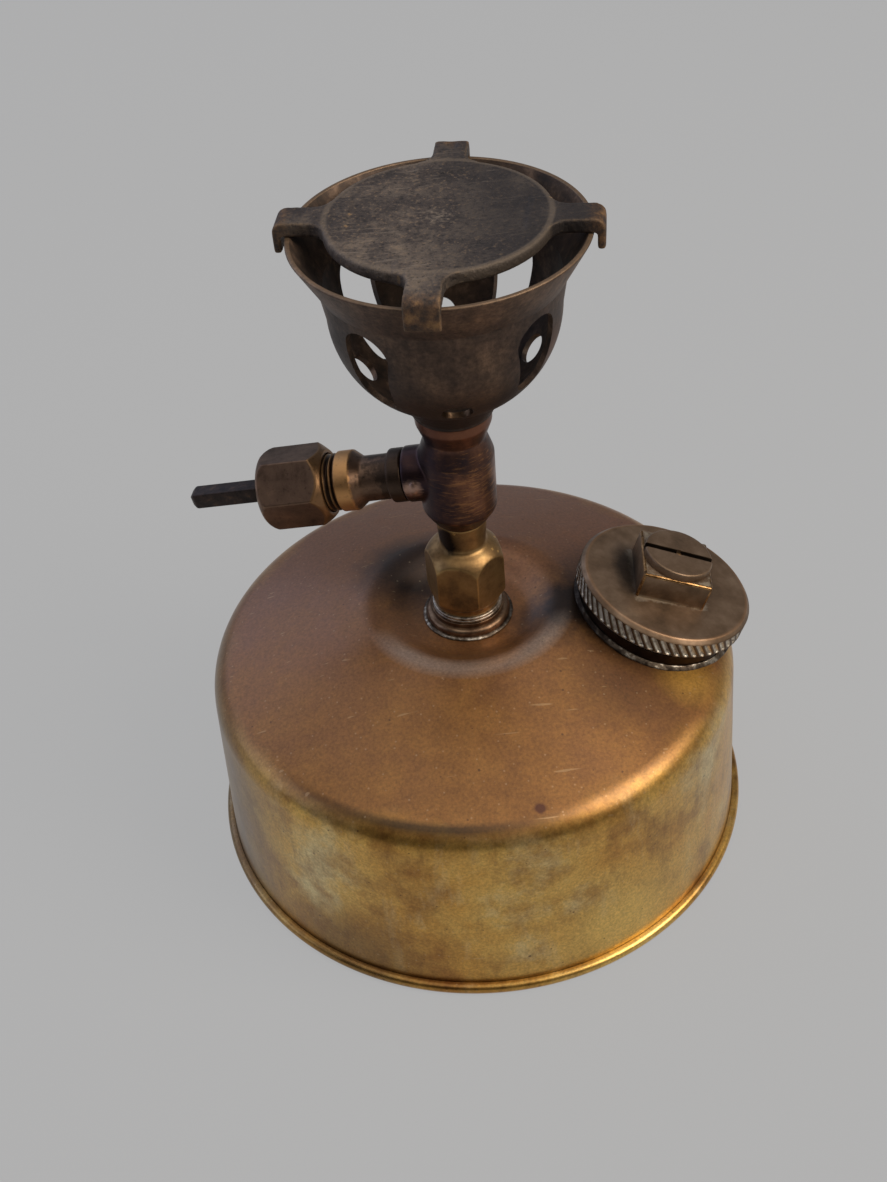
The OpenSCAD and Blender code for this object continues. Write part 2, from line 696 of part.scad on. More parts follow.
// Filler cap: knurled rim, square boss, threaded shank with the safety valve's chamber
module filler_cap() {
  edge = cap_rim_h / 5;
  rim_path = [[0, cap_z], [cap_d / 2 - knurl_depth, cap_z], [cap_d / 2, cap_z + knurl_depth],
    [cap_d / 2, cap_top - edge], [cap_d / 2 - edge, cap_top], [0, cap_top]];
  color(brass) along_filler() difference() {
    union() {
      rotate_extrude() polygon(rim_path);
      rotate([0, 0, boss_turn]) translate([-boss_side / 2, -boss_side / 2, cap_top - eps])
        cube([boss_side, boss_side, boss_h + eps]);
      bar(cap_thread_d - 2 * run_gap, cap_end, cap_z + eps);
    }
    for (i = [0:knurl_count - 1]) rotate([0, 0, i * 360 / knurl_count]) knurl_groove();
    bar(chamber_d, chamber_floor, cap_boss_top + 1);
    bar(vent_d, cap_end - 1, chamber_floor + 1);
  }
}

// One slanted groove of the cap's knurl
module knurl_groove() {
  groove_d = PI * cap_d / knurl_count * 0.7;
  translate([cap_d / 2 + groove_d / 2 - knurl_depth, 0, cap_z + cap_rim_h / 2]) rotate([knurl_slant, 0, 0])
    cylinder(d = groove_d, h = 2 * cap_rim_h, center = true);
}

// Slotted screw that holds the safety valve's spring, drilled through to let gas out
module relief_screw() color(dark_brass) along_filler() difference() {
  union() {
    bar(relief_head_d, cap_boss_top, cap_boss_top + relief_head_h);
    bar(chamber_d - 2 * run_gap, relief_end, cap_boss_top + eps);
  }
  rotate([0, 0, slot_turn]) translate([-relief_head_d, -slot_w / 2, cap_boss_top + relief_head_h / 3])
    cube([2 * relief_head_d, slot_w, relief_head_h]);
  bar(vent_d / 2, relief_end - 1, cap_boss_top + relief_head_h);
}

// Coil spring of the safety valve: one tube swept along a helix
module relief_spring() {
  length = relief_end - spring_z - wire_d;
  coil_r = chamber_d / 2 - wire_d / 2 - 4 * run_gap;
  sides = 6;
  steps = 16 * spring_turns;
  pitch_angle = atan2(length / spring_turns, 2 * PI * coil_r);
  ring = function(i)
    let (a = 360 * spring_turns * i / steps, z = spring_z + wire_d / 2 + length * i / steps)
    [for (k = [0:sides - 1])
      let (b = 360 * k / sides, out = coil_r + wire_d / 2 * cos(b), rise = wire_d / 2 * sin(b))
      [out * cos(a) + rise * sin(pitch_angle) * sin(a), out * sin(a) - rise * sin(pitch_angle) * cos(a),
        z + rise * cos(pitch_angle)]];
  points = [for (i = [0:steps]) each ring(i)];
  walls = [for (i = [0:steps - 1], k = [0:sides - 1])
    let (a = i * sides + k, b = i * sides + (k + 1) % sides)
    each [[a, a + sides, b], [b, a + sides, b + sides]]];
  far = steps * sides;
  caps = [for (k = [1:sides - 2]) each [[0, k, k + 1], [far, far + k + 1, far + k]]];
  color("silver") along_filler() polyhedron(points, concat(walls, caps));
}

// Plunger of the safety valve: head with a stem that guides the spring
module relief_plunger() color(brass) along_filler() {
  bar(chamber_d - 6 * run_gap, plunger_z, spring_z);
  bar(chamber_d / 3, spring_z - eps, relief_end - relief_lift - 1);
}

// Rubber face of the safety valve
module relief_seal() color("black") along_filler() bar(chamber_d - 1.5, seal_z, plunger_z);

tank_shell();
tank_base();
burner_bush();
bush_washer();
riser();
wick();
vaporizer_tee();
valve_arm();
packing_nut();
gland_ring();
spindle_packing();
spindle();
jet();
burner_bell();
flame_plate();
filler_neck();
cap_gasket();
filler_cap();
relief_screw();
relief_spring();
relief_plunger();
relief_seal();
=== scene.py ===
import math
import bpy
from mathutils import Euler, Matrix, Vector


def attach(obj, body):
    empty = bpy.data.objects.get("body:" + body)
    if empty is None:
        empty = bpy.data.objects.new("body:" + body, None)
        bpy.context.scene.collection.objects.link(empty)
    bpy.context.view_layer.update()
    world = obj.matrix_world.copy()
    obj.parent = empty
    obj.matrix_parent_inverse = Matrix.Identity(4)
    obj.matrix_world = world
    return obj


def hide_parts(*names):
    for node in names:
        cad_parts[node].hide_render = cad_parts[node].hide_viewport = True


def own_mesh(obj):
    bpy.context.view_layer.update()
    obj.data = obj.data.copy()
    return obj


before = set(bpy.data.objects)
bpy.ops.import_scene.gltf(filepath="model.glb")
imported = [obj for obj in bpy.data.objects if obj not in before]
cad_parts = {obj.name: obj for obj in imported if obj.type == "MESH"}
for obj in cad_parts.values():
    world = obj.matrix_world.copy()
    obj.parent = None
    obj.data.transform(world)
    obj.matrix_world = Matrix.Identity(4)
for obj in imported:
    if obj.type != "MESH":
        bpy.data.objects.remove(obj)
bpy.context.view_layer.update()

# Tank shell: one piece of sheet brass, drawn to a low drum with a round shoulder, a sloping
# dome and a dished middle. The wall is worn golden, the dome has gone brown with age and heat.
MM = 0.001
sheet = 0.8
dish_z = 51.302
filler_point = Vector((38.048, -1.994, 48.334)) * MM
filler_slope = math.radians(18)
filler_turn = (0, filler_slope, math.radians(-3))


def drawn(corners, arc_steps=6):
    """Points of an outline in mm; a corner is (radius, height) or (radius, height, rounding)."""
    path = []
    for i, corner in enumerate(corners):
        here = Vector(corner[:2])
        if len(corner) == 2:
            path.append(here)
            continue
        back = (Vector(corners[i - 1][:2]) - here).normalized()
        onward = (Vector(corners[i + 1][:2]) - here).normalized()
        half = back.angle(onward) / 2
        centre = here + (back + onward).normalized() * corner[2] / math.sin(half)
        spoke = here + back * corner[2] / math.tan(half) - centre
        sweep = math.copysign(math.pi - 2 * half, onward.cross(back))
        for k in range(arc_steps + 1):
            path.append(centre + Matrix.Rotation(sweep * k / arc_steps, 2) @ spoke)
    return path


def traced(name, path):
    """A vertex drawn out along a path in the XZ plane, left in edit mode with all of it selected."""
    bpy.ops.object.select_all(action="DESELECT")
    bpy.ops.mesh.primitive_plane_add(size=MM)
    piece = bpy.context.object
    piece.name = piece.data.name = name
    bpy.ops.object.mode_set(mode="EDIT")
    bpy.ops.mesh.select_mode(type="VERT")
    bpy.ops.mesh.select_all(action="SELECT")
    bpy.ops.mesh.merge(type="CENTER")
    bpy.ops.transform.translate(value=(path[0].x * MM, 0, path[0].y * MM))
    for a, b in zip(path, path[1:]):
        step = (b - a) * MM
        bpy.ops.mesh.extrude_region_move(TRANSFORM_OT_translate={"value": (step.x, 0, step.y)})
    bpy.ops.mesh.select_all(action="SELECT")
    bpy.ops.mesh.remove_doubles(threshold=2e-6)
    bpy.ops.mesh.select_all(action="SELECT")
    return piece


def turned(name, path, steps=128):
    """A path of (radius, height) turned round Z, as on a lathe."""
    piece = traced(name, path)
    bpy.ops.mesh.spin(steps=steps, angle=2 * math.pi, center=(0, 0, 0), axis=(0, 0, 1))
    bpy.ops.mesh.select_all(action="SELECT")
    bpy.ops.mesh.remove_doubles(threshold=2e-6)
    bpy.ops.mesh.normals_make_consistent(inside=False)
    bpy.ops.object.mode_set(mode="OBJECT")
    return piece


def alone(piece):
    bpy.ops.object.select_all(action="DESELECT")
    piece.select_set(True)
    bpy.context.view_layer.objects.active = piece


def set_down(piece, location, rotation):
    """Moves a piece from the origin to its place, and puts the place into its mesh."""
    alone(piece)
    piece.location = location
    piece.rotation_euler = rotation
    bpy.ops.object.transform_apply(location=True, rotation=True, scale=True)


def modified(piece, kind, **settings):
    """Adds a modifier with its settings to a piece, and applies it."""
    alone(piece)
    bpy.ops.object.modifier_add(type=kind)
    modifier = piece.modifiers[-1]
    for name, value in settings.items():
        setattr(modifier, name, value)
    bpy.ops.object.modifier_apply(modifier=modifier.name)


def cut(piece, tool, operation="DIFFERENCE"):
    """Cuts, joins or trims a piece by another, which is used up."""
    modified(piece, "BOOLEAN", operation=operation, solver="EXACT", object=tool)
    bpy.data.objects.remove(tool)


def blank(start, **sizes):
    """A stock shape to work from: a primitive, with its place put into its mesh."""
    bpy.ops.object.select_all(action="DESELECT")
    start(**sizes)
    bpy.ops.object.transform_apply(location=True, rotation=True, scale=True)
    return bpy.context.object


def smooth(piece, degrees=35):
    alone(piece)
    bpy.ops.object.shade_smooth_by_angle(angle=math.radians(degrees))


def linear(code):
    """An sRGB hex colour as a linear one."""
    parts = [int(code[i:i + 2], 16) / 255 for i in (0, 2, 4)]
    return [c / 12.92 if c <= 0.04045 else ((c + 0.055) / 1.055) ** 2.4 for c in parts] + [1]


def wire(tree, node, links):
    """Gives a node's inputs, by name or number, a value, a hex colour, a socket or another node."""
    for name, value in links.items():
        socket = node.inputs[name] if isinstance(name, int) else next(
            s for s in node.inputs if s.enabled and s.name == name)
        if isinstance(value, bpy.types.Node):
            value = next(s for s in value.outputs if s.enabled)
        if isinstance(value, bpy.types.NodeSocket):
            tree.links.new(value, socket)
        else:
            socket.default_value = linear(value) if isinstance(value, str) else value


def add(tree, kind, links=None, stops=(), **settings):
    """A node with its settings, its links and, on a colour ramp, its stops."""
    node = tree.nodes.new("ShaderNode" + kind)
    for name, value in settings.items():
        setattr(node, name, value)
    wire(tree, node, links or {})
    for _ in stops[2:]:
        node.color_ramp.elements.new(0.5)
    for element, (position, code) in zip(node.color_ramp.elements if stops else (), stops):
        element.position = position
        element.color = linear(code)
    return node


def new_finish(name):
    """A new material, with its node tree, its shader and its Object coordinates."""
    material = bpy.data.materials.new(name)
    material.use_nodes = True
    tree = material.node_tree
    return material, tree, tree.nodes["Principled BSDF"], add(tree, "TexCoord").outputs["Object"]


def layer(tree, under, colour, mask, start, end, full=1, least=0):
    """A colour laid over another: the least of it where the mask is at start, the full share at end."""
    share = add(tree, "MapRange", {
        "Value": mask, "From Min": start, "From Max": end, "To Min": least, "To Max": full})
    return add(tree, "Mix", {"Factor": share, "A": under, "B": colour}, data_type="RGBA")


def patch(tree, under, colour, place, point, outer, inner, full=1, noise=None, rag=0):
    """A layer round a point, in mm: none beyond outer, full within inner, its edge ragged by a noise."""
    gap = add(tree, "VectorMath", {0: place, 1: [c * MM for c in point]}, operation="DISTANCE")
    if rag:
        gap = add(tree, "Math", {0: noise, 1: rag * MM, 2: gap}, operation="MULTIPLY_ADD")
    return layer(tree, under, colour, gap, outer * MM, inner * MM, full)


def shade(tree, under, mask, start, end, dark, bright):
    """A colour made darker where the mask is at start and brighter where it is at end."""
    factor = add(tree, "MapRange", {
        "Value": mask, "From Min": start, "From Max": end, "To Min": dark, "To Max": bright})
    return add(tree, "Mix", {"Factor": 1, "A": under, "B": factor}, data_type="RGBA", blend_type="MULTIPLY")


def apart(tree, value, middle):
    """How far a value lies from a middle one, to either side."""
    gap = add(tree, "Math", {0: value, 1: middle}, operation="SUBTRACT")
    return add(tree, "Math", {0: gap}, operation="ABSOLUTE")


def radius_of(tree, place):
    """Distance from the Z axis."""
    level = add(tree, "VectorMath", {0: place, 1: (1, 1, 0)}, operation="MULTIPLY")
    return add(tree, "VectorMath", {0: level}, operation="LENGTH")


shell_outline = drawn([
    (56.7, 1.62), (55.9, 1.62, 0.6), (53.9, 43.2, 6.8), (18.5, 54.702, 8.5), (12.5, dish_z, 6.5),
    (6.9, dish_z), (6.9, dish_z - sheet), (12.3, dish_z - sheet, 7.3), (18.5, 53.86, 7.7),
    (53.08, 42.62, 6), (55.1, 0.82), (56.7, 0.82), (56.7, 1.62)], 10)
tank_shell = turned("tank_drawn_shell", shell_outline, 256)
neck_hole = blank(bpy.ops.mesh.primitive_cylinder_add, vertices=64, radius=12.4 * MM, depth=24 * MM)
set_down(neck_hole, filler_point, filler_turn)
cut(tank_shell, neck_hole)
smooth(tank_shell)

# Patinated sheet brass: the dome has a brown satin patina, golden towards the front, with fine bright and
# dark grains; the wall is rubbed golden, with brown stains, pale scuffs, runs and dirt along the seam.
# Painted shade lies on the wall's far left, by the cap, left of the riser and along the shoulder's foot;
# painted highlights lie low on the wall's front right, on the dish's crest and on the shoulder.
tank_brass, tree, shader, place = new_finish("patinated_sheet_brass")
split = add(tree, "SeparateXYZ", {"Vector": place})
clouds = add(tree, "TexNoise", {"Vector": place, "Scale": 1 / 0.024, "Detail": 6, "Roughness": 0.6})
mottle = add(tree, "TexNoise", {"Vector": place, "Scale": 1 / 0.006, "Detail": 6, "Roughness": 0.68})
grain = add(tree, "TexNoise", {"Vector": place, "Scale": 1 / 0.0006, "Detail": 3, "Roughness": 0.7})
upright = add(tree, "Mapping", {"Vector": place, "Scale": (1, 1, 0.25)})
runs = add(tree, "TexNoise", {"Vector": upright, "Scale": 1 / 0.006, "Detail": 6, "Roughness": 0.7})
ragged = add(tree, "Math", {0: clouds, 1: 8 * MM, 2: split.outputs["Z"]}, operation="MULTIPLY_ADD")
on_dome = add(tree, "MapRange", {"Value": ragged, "From Min": 0.0455, "From Max": 0.0485})
frontness = add(tree, "Math", {0: clouds, 1: -90 * MM, 2: split.outputs["Y"]}, operation="MULTIPLY_ADD")
dome_gold = add(tree, "ValToRGB", {"Fac": mottle}, [(0.3, "7c5227"), (0.5, "875b2c"), (0.7, "926532")])
dome = layer(tree, dome_gold, "7c543a", frontness, -0.085, -0.02)
gold = add(tree, "ValToRGB", {"Fac": clouds}, [(0.32, "a06b2b"), (0.44, "c99846"), (0.56, "d3aa5a"),
                                               (0.68, "d6c18c")])
blotch = add(tree, "TexNoise", {"Vector": place, "Scale": 1 / 0.011, "Detail": 6, "Roughness": 0.66})
stained = layer(tree, gold, "8d5d25", blotch, 0.46, 0.66, full=0.7)
scuffed = layer(tree, stained, "d2b683", runs, 0.54, 0.7, full=0.48)
run_down = layer(tree, scuffed, "6d451d", runs, 0.3, 0.46, full=0, least=0.5)
# Painted highlight: a pale gold patch low on the wall's front right, a reflection of the lit floor.
painted_low_right_highlight = patch(tree, run_down, "e3bd66", place, (24, -50, 8), 26, 12, full=0.7, noise=clouds, rag=14)
# Painted shade: the wall's far left is made darker.
left_end = add(tree, "Math", {0: clouds, 1: 10 * MM, 2: split.outputs["X"]}, operation="MULTIPLY_ADD")
painted_left_shade = layer(tree, painted_low_right_highlight, "5f4a38", left_end, -0.034, -0.047, full=0.75)
# A darker patch low on the wall's left side.
darker_low_left = patch(tree, painted_left_shade, "6b4722", place, (-30, -46, 4), 26, 14, full=0.7, noise=clouds, rag=14)
skin = add(tree, "Mix", {"Factor": on_dome, "A": darker_low_left, "B": dome}, data_type="RGBA")
seam_z = add(tree, "Math", {0: mottle, 1: -2.4 * MM, 2: split.outputs["Z"]}, operation="MULTIPLY_ADD")
seam_gap = apart(tree, seam_z, 1.5 * MM)
dirty = layer(tree, skin, "4d3018", seam_gap, 0.0008, 0.0002, full=0.35)
# Painted shadow and reflection of the cap, dark on the dome to its left.
shade_and_grime = patch(tree, dirty, "281c14", place, (20, -4, 53), 18, 10, full=0.95, noise=mottle, rag=12)
radius = radius_of(tree, place)
crest_gap = apart(tree, radius, 19 * MM)
# Painted sheen: a pale reflection on the front of the dish's crest.
crest = add(tree, "MapRange", {"Value": crest_gap, "From Min": 0.003, "From Max": 0.0008, "To Max": 0.5})
in_front = add(tree, "MapRange", {"Value": split.outputs["Y"], "From Min": -0.005, "From Max": -0.013})
crest_painted_sheen = add(tree, "Math", {0: crest, 1: in_front}, operation="MULTIPLY")
with_crest_sheen = add(tree, "Mix", {"Factor": crest_painted_sheen, "A": shade_and_grime, "B": "c6b2a2"}, data_type="RGBA")
# A darker patch on the dome in front of the cap.
darker_before_cap = patch(tree, with_crest_sheen, "4a3020", place, (28, -22, 49), 14, 4, full=0.4)
# Painted highlight: a small gold spot on the shoulder's front right.
painted_shoulder_highlight = patch(tree, darker_before_cap, "d0a045", place, (41.5, -20.5, 45.7), 8, 2, full=0.55)
# Painted shade and reflection of the riser and tee, dark on the dish left of the riser.
shade_and_soot = patch(tree, painted_shoulder_highlight, "1c130c", place, (-10.5, 13, 53.5), 17, 8.5, full=0.88, noise=mottle, rag=6)
bend_gap = apart(tree, radius, 51 * MM)
bend = add(tree, "MapRange", {"Value": bend_gap, "From Min": 0.0013, "From Max": 0.0003})
by_bend = add(tree, "VectorMath", {0: place, 1: (-13 * MM, -49.4 * MM, 43.6 * MM)}, operation="DISTANCE")
bend_here = add(tree, "MapRange", {"Value": by_bend, "From Min": 0.032, "From Max": 0.006, "To Max": 0.8})
bend_shade = add(tree, "Math", {0: bend, 1: bend_here}, operation="MULTIPLY")
shaded = add(tree, "Mix", {"Factor": bend_shade, "A": shade_and_soot, "B": "33240f"}, data_type="RGBA")
grained = shade(tree, shaded, grain, 0.28, 0.72, 0.72, 1.28)
pits = add(tree, "TexVoronoi", {"Vector": place, "Scale": 1 / 0.0026, "Randomness": 1})
pit_size = add(tree, "Math", {0: mottle, 1: 0.42, 2: -0.14}, operation="MULTIPLY_ADD")
pit_depth = add(tree, "Math", {0: pit_size, 1: pits}, operation="SUBTRACT")
pitted = layer(tree, grained, "4a2f1c", pit_depth, 0, 0.04, full=0.7)
rusted = patch(tree, pitted, "4c2619", place, (8, -48.2, 44.8), 0.6, 0.1, full=0.85, noise=mottle, rag=-1.6)
motes = add(tree, "TexVoronoi", {"Vector": place, "Scale": 1 / 0.0019, "Randomness": 1})
dusted = layer(tree, rusted, "c9b08c", motes, 0.13, 0.07, full=0.25)
slant = add(tree, "Mapping", {"Vector": place, "Rotation": (0, 0, 0.6), "Scale": (0.03, 1, 1)})
lines = add(tree, "TexNoise", {"Vector": slant, "Scale": 1 / 0.0009, "Detail": 1, "Roughness": 0.5})
scratched = layer(tree, dusted, "c0a074", lines, 0.74, 0.78, full=0.35)
gloss = add(tree, "MapRange", {"Value": mottle, "From Min": 0.3, "From Max": 0.7, "To Min": 0.3,
                               "To Max": 0.4})
satin = add(tree, "Math", {0: on_dome, 1: 0.08, 2: gloss}, operation="MULTIPLY_ADD")
metal = add(tree, "MapRange", {"Value": on_dome, "To Min": 0.92, "To Max": 0.7})
grain_bump = add(tree, "Bump", {"Height": grain, "Strength": 0.12, "Distance": 0.0001})
wear_bump = add(tree, "Bump", {"Height": mottle, "Strength": 0.12, "Distance": 0.0003,
                               "Normal": grain_bump})
wire(tree, shader, {"Base Color": scratched, "Roughness": satin, "Metallic": metal, "Normal": wear_bump,
                    "Coat Weight": 0.35, "Coat Roughness": 0.3})

tank_shell.data.materials.append(tank_brass)
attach(tank_shell, "tank")
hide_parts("tank_shell")

# Tank base: pressed sheet brass, folded over the shell's lip into a round seam and soldered.
# It stands on a flat ring, and its panel is dished upwards.
bead_r = 1.2
bead_middle = 56.3
bead = [Vector((bead_middle + bead_r * math.cos(a), bead_r + bead_r * math.sin(a)))
        for a in (math.radians(90 - 15 * k) for k in range(13))]
panel_r = 438.87
panel_z = 5.2
panel = [Vector((r, panel_z - panel_r + math.sqrt(panel_r ** 2 - r * r)))
         for r in (0, 8, 16, 24, 32, 40, 47.7)]
hem = drawn([(55.95, 2.4), (55.95, 1.62), (56.68, 1.62), (56.68, 0.8), (50.6, 0.8)])
panel_top = [p + Vector((0, sheet)) for p in panel[::-1]]
base_outline = panel + [Vector((50.3, 0))] + bead[::-1] + hem + panel_top
tank_base = turned("tank_pressed_base", base_outline, 256)
smooth(tank_base)
tank_base.data.materials.append(tank_brass)
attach(tank_base, "tank")
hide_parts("tank_base")

# Burner bush: a turned brass bush soldered into the dish, round-edged, threaded for the riser.
# A grey fillet of soft solder runs round its foot.
bush = turned("burner_bush_turned", drawn([
    (5.4, 44.3), (7, 44.3), (7, 51.29), (8.5, 51.29), (8.5, 53.302, 1.15), (7.3, 53.302),
    (7.3, 54.202, 0.15), (5.4, 54.202), (5.4, 44.3)]))
smooth(bush)
bush_solder = turned("burner_bush_solder", drawn([
    (8.1, 51.2), (9.7, 51.25), (9.1, 51.6, 0.4), (8.5, 52.15), (8.1, 52.1), (8.1, 51.2)]))


def lumpy(piece, lump, seed, rounds):
    """Random lumps, smoothed, as soft solder sets."""
    alone(piece)
    bpy.ops.object.mode_set(mode="EDIT")
    bpy.ops.transform.vertex_random(offset=lump * MM, seed=seed)
    bpy.ops.mesh.vertices_smooth(factor=0.5, repeat=rounds)
    bpy.ops.object.mode_set(mode="OBJECT")
    smooth(piece, 80)


lumpy(bush_solder, 0.25, seed=4, rounds=6)

# Brown turned brass: even brown tarnish, rubbed paler here and there, with painted shade darkening it under
# the cap.
bush_brass, tree, shader, place = new_finish("brown_turned_brass")
tarnish = add(tree, "TexNoise", {"Vector": place, "Scale": 1 / 0.003, "Detail": 5, "Roughness": 0.6})
colour = add(tree, "ValToRGB", {"Fac": tarnish}, [(0.3, "3c2c20"), (0.5, "664f3c"), (0.7, "8a725a")])
under_cap = add(tree, "VectorMath", {0: place, 1: filler_point}, operation="DISTANCE")
# Painted shade: darker close under the cap.
shade_and_grime = layer(tree, colour, "1a1410", under_cap, 0.022, 0.018, full=0.8)
gloss = add(tree, "MapRange", {"Value": tarnish, "From Min": 0.3, "From Max": 0.7, "To Min": 0.42,
                               "To Max": 0.3})
bump = add(tree, "Bump", {"Height": tarnish, "Strength": 0.2, "Distance": 0.0002})
wire(tree, shader, {"Base Color": shade_and_grime, "Roughness": gloss, "Normal": bump, "Metallic": 0.9})

# Soft solder: silver grey, lumpy, dulled in patches by flux, with painted shadow dark on the cap's inner
# side.
solder, tree, shader, place = new_finish("soft_solder")
flow = add(tree, "TexNoise", {"Vector": place, "Scale": 1 / 0.0022, "Detail": 5, "Roughness": 0.6})
colour = add(tree, "ValToRGB", {"Fac": flow}, [(0.34, "2a211a"), (0.52, "665a4d"), (0.68, "c8bfb0")])
# Painted shadow of the cap, dark on its inner side.
shade_and_grime = patch(tree, colour, "1d1612", place, (21, -3, 53), 20, 9, full=0.9)
gloss = add(tree, "MapRange", {"Value": flow, "From Min": 0.35, "From Max": 0.65, "To Min": 0.55,
                               "To Max": 0.28})
bump = add(tree, "Bump", {"Height": flow, "Strength": 0.5, "Distance": 0.0004})
wire(tree, shader, {"Base Color": shade_and_grime, "Roughness": gloss, "Normal": bump, "Metallic": 0.9})

bush.data.materials.append(bush_brass)
bush_solder.data.materials.append(solder)
for piece in (bush, bush_solder):
    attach(piece, "tank")
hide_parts("burner_bush")

# Sealing washer: a ring of soft lead and tin, cut from sheet. The riser squeezes it on the bush, so that
# its edge shows a groove.
washer = turned("bush_washer_squeezed", drawn([
    (5.42, 54.202), (7.0, 54.202, 0.2), (7.0, 54.76, 0.15), (6.72, 54.852), (7.0, 54.95, 0.15),
    (7.0, 55.502, 0.2), (5.42, 55.502), (5.42, 54.202)], 4))
smooth(washer)
washer_metal, tree, shader, place = new_finish("soft_lead_tin_washer")
dents = add(tree, "TexNoise", {"Vector": place, "Scale": 1 / 0.0015, "Detail": 4, "Roughness": 0.6})
colour = add(tree, "ValToRGB", {"Fac": dents}, [(0.3, "5a5148"), (0.55, "b5ac9f"), (0.75, "d9d2c6")])
bump = add(tree, "Bump", {"Height": dents, "Strength": 0.35, "Distance": 0.0002})
wire(tree, shader, {"Base Color": colour, "Normal": bump, "Metallic": 0.9, "Roughness": 0.34})
washer.data.materials.append(washer_metal)
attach(washer, "tank")
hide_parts("bush_washer")

# Riser: turned from hexagon brass bar, with a threaded shank, a collar, a hexagon with a round
# shoulder and a short tube. Spanners and age have rounded its edges.
spanner = 14
bar_r = 8.183
riser = turned("riser_turned", drawn([
    (3.0, 44.3), (5.32, 44.3), (5.32, 55.502), (6.6, 55.502, 0.2), (6.6, 57.002), (bar_r, 58.58),
    (bar_r, 68.46, 5.2), (4.5, 70.302, 1.2), (5.0, 76.402), (4.2, 76.402), (4.2, 80.3), (3.0, 80.3),
    (3.0, 44.3)], 8))


def hexagon(turn, low, high):
    """A hexagon bar of the spanner's size round Z, with its corners turned by an angle."""
    corner_r = spanner / 2 / math.cos(math.pi / 6)
    return blank(bpy.ops.mesh.primitive_cylinder_add, vertices=6, radius=corner_r * MM,
                 depth=(high - low) * MM,
                 location=(0, 0, (high + low) / 2 * MM), rotation=(0, 0, math.radians(turn)))


def worn(piece, voxel, rounds):
    """Remeshes a piece evenly and smooths it, which rounds its edges as wear or casting does."""
    modified(piece, "REMESH", mode="VOXEL", voxel_size=voxel * MM)
    modified(piece, "SMOOTH", factor=0.5, iterations=rounds)
    bpy.ops.object.shade_smooth()


cut(riser, hexagon(13, 40, 85), "INTERSECT")
worn(riser, 0.2, 5)

# Worn olive brass: yellow-brown, bright where hands and spanners rub its edges, with a black burnt
# stain that has run down one side of the tube.
riser_brass, tree, shader, place = new_finish("worn_olive_brass")
tarnish = add(tree, "TexNoise", {"Vector": place, "Scale": 1 / 0.005, "Detail": 6, "Roughness": 0.65})
fine = add(tree, "TexNoise", {"Vector": place, "Scale": 1 / 0.0008, "Detail": 3, "Roughness": 0.6})
colour = add(tree, "ValToRGB", {"Fac": tarnish}, [(0.3, "5f4930"), (0.5, "8f7048"), (0.68, "a68759")])
edges = add(tree, "NewGeometry").outputs["Pointiness"]
rubbed = layer(tree, colour, "c39a5c", edges, 0.51, 0.56)
spread = add(tree, "Math", {0: tarnish, 1: 6 * MM, 2: 0.2 * MM}, operation="MULTIPLY_ADD")
reach = add(tree, "VectorMath", {0: place, 1: (-3.5 * MM, -3.5 * MM, 73 * MM)}, operation="DISTANCE")
burn_edge = add(tree, "Math", {0: reach, 1: spread}, operation="SUBTRACT")
stained = layer(tree, rubbed, "1c1410", burn_edge, 0.0005, -0.0012)
gloss = add(tree, "MapRange", {"Value": tarnish, "From Min": 0.3, "From Max": 0.7, "To Min": 0.5,
                               "To Max": 0.36})
bump = add(tree, "Bump", {"Height": fine, "Strength": 0.2, "Distance": 0.0001})
wire(tree, shader, {"Base Color": stained, "Roughness": gloss, "Normal": bump, "Metallic": 0.92})
riser.data.materials.append(riser_brass)
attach(riser, "tank")
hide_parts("riser")

# Wick: a bundle of cotton yarn pulled through the riser, down to the tank's bottom. It draws up the
# petrol, which has stained it.
cotton, tree, shader, place = new_finish("petrol_stained_cotton")
fibre = add(tree, "Mapping", {"Vector": place, "Scale": (1, 1, 0.08)})
yarn = add(tree, "TexNoise", {"Vector": fibre, "Scale": 1 / 0.0005, "Detail": 4, "Roughness": 0.6})
colour = add(tree, "ValToRGB", {"Fac": yarn}, [(0.3, "6f5d40"), (0.5, "a8946c"), (0.7, "cfc09a")])
bump = add(tree, "Bump", {"Height": yarn, "Strength": 0.6, "Distance": 0.0002})
wire(tree, shader, {"Base Color": colour, "Normal": bump, "Roughness": 0.9})
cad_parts["wick"].material_slots[0].material = cotton

# Tee: the vaporiser's body, a turned brass barrel with a side boss brazed on for the valve arm.
# Heat has stained it dark, from purple-black to copper.
arm_place = (0, 0, 87.902 * MM)
arm_turn = (0, math.radians(-100), math.radians(-13))
tee = turned("vaporizer_tee_body", drawn([
    (0, 76.402), (5.15, 76.402, 0.4), (7.2, 79.802, 1.5), (7.2, 91.902, 1.5), (5.85, 96.102, 1.5),
    (7.15, 99.602, 0.4), (7.15, 101.77, 0.4), (4.9, 101.77), (4.9, 105.4), (0, 105.4)]), 96)
boss = turned("tee_side_boss", drawn([(0, 0), (5.4, 0), (5.4, 9.87, 0.5), (0, 9.87)]), 96)
set_down(boss, arm_place, arm_turn)
cut(tee, boss, "UNION")
blob = blank(bpy.ops.mesh.primitive_uv_sphere_add, segments=24, ring_count=12, radius=1.3 * MM,
             scale=(0.8, 0.9, 1.4), location=(-8.6 * MM, -2.9 * MM, 86.7 * MM))
cut(tee, blob, "UNION")
worn(tee, 0.22, 5)
valve_way = turned("tee_valve_way", drawn([(0, 1), (1.3, 1), (3.4, 3.2), (3.4, 12), (0, 12)]), 48)
set_down(valve_way, arm_place, arm_turn)
cut(tee, valve_way)
smooth(tee, 60)

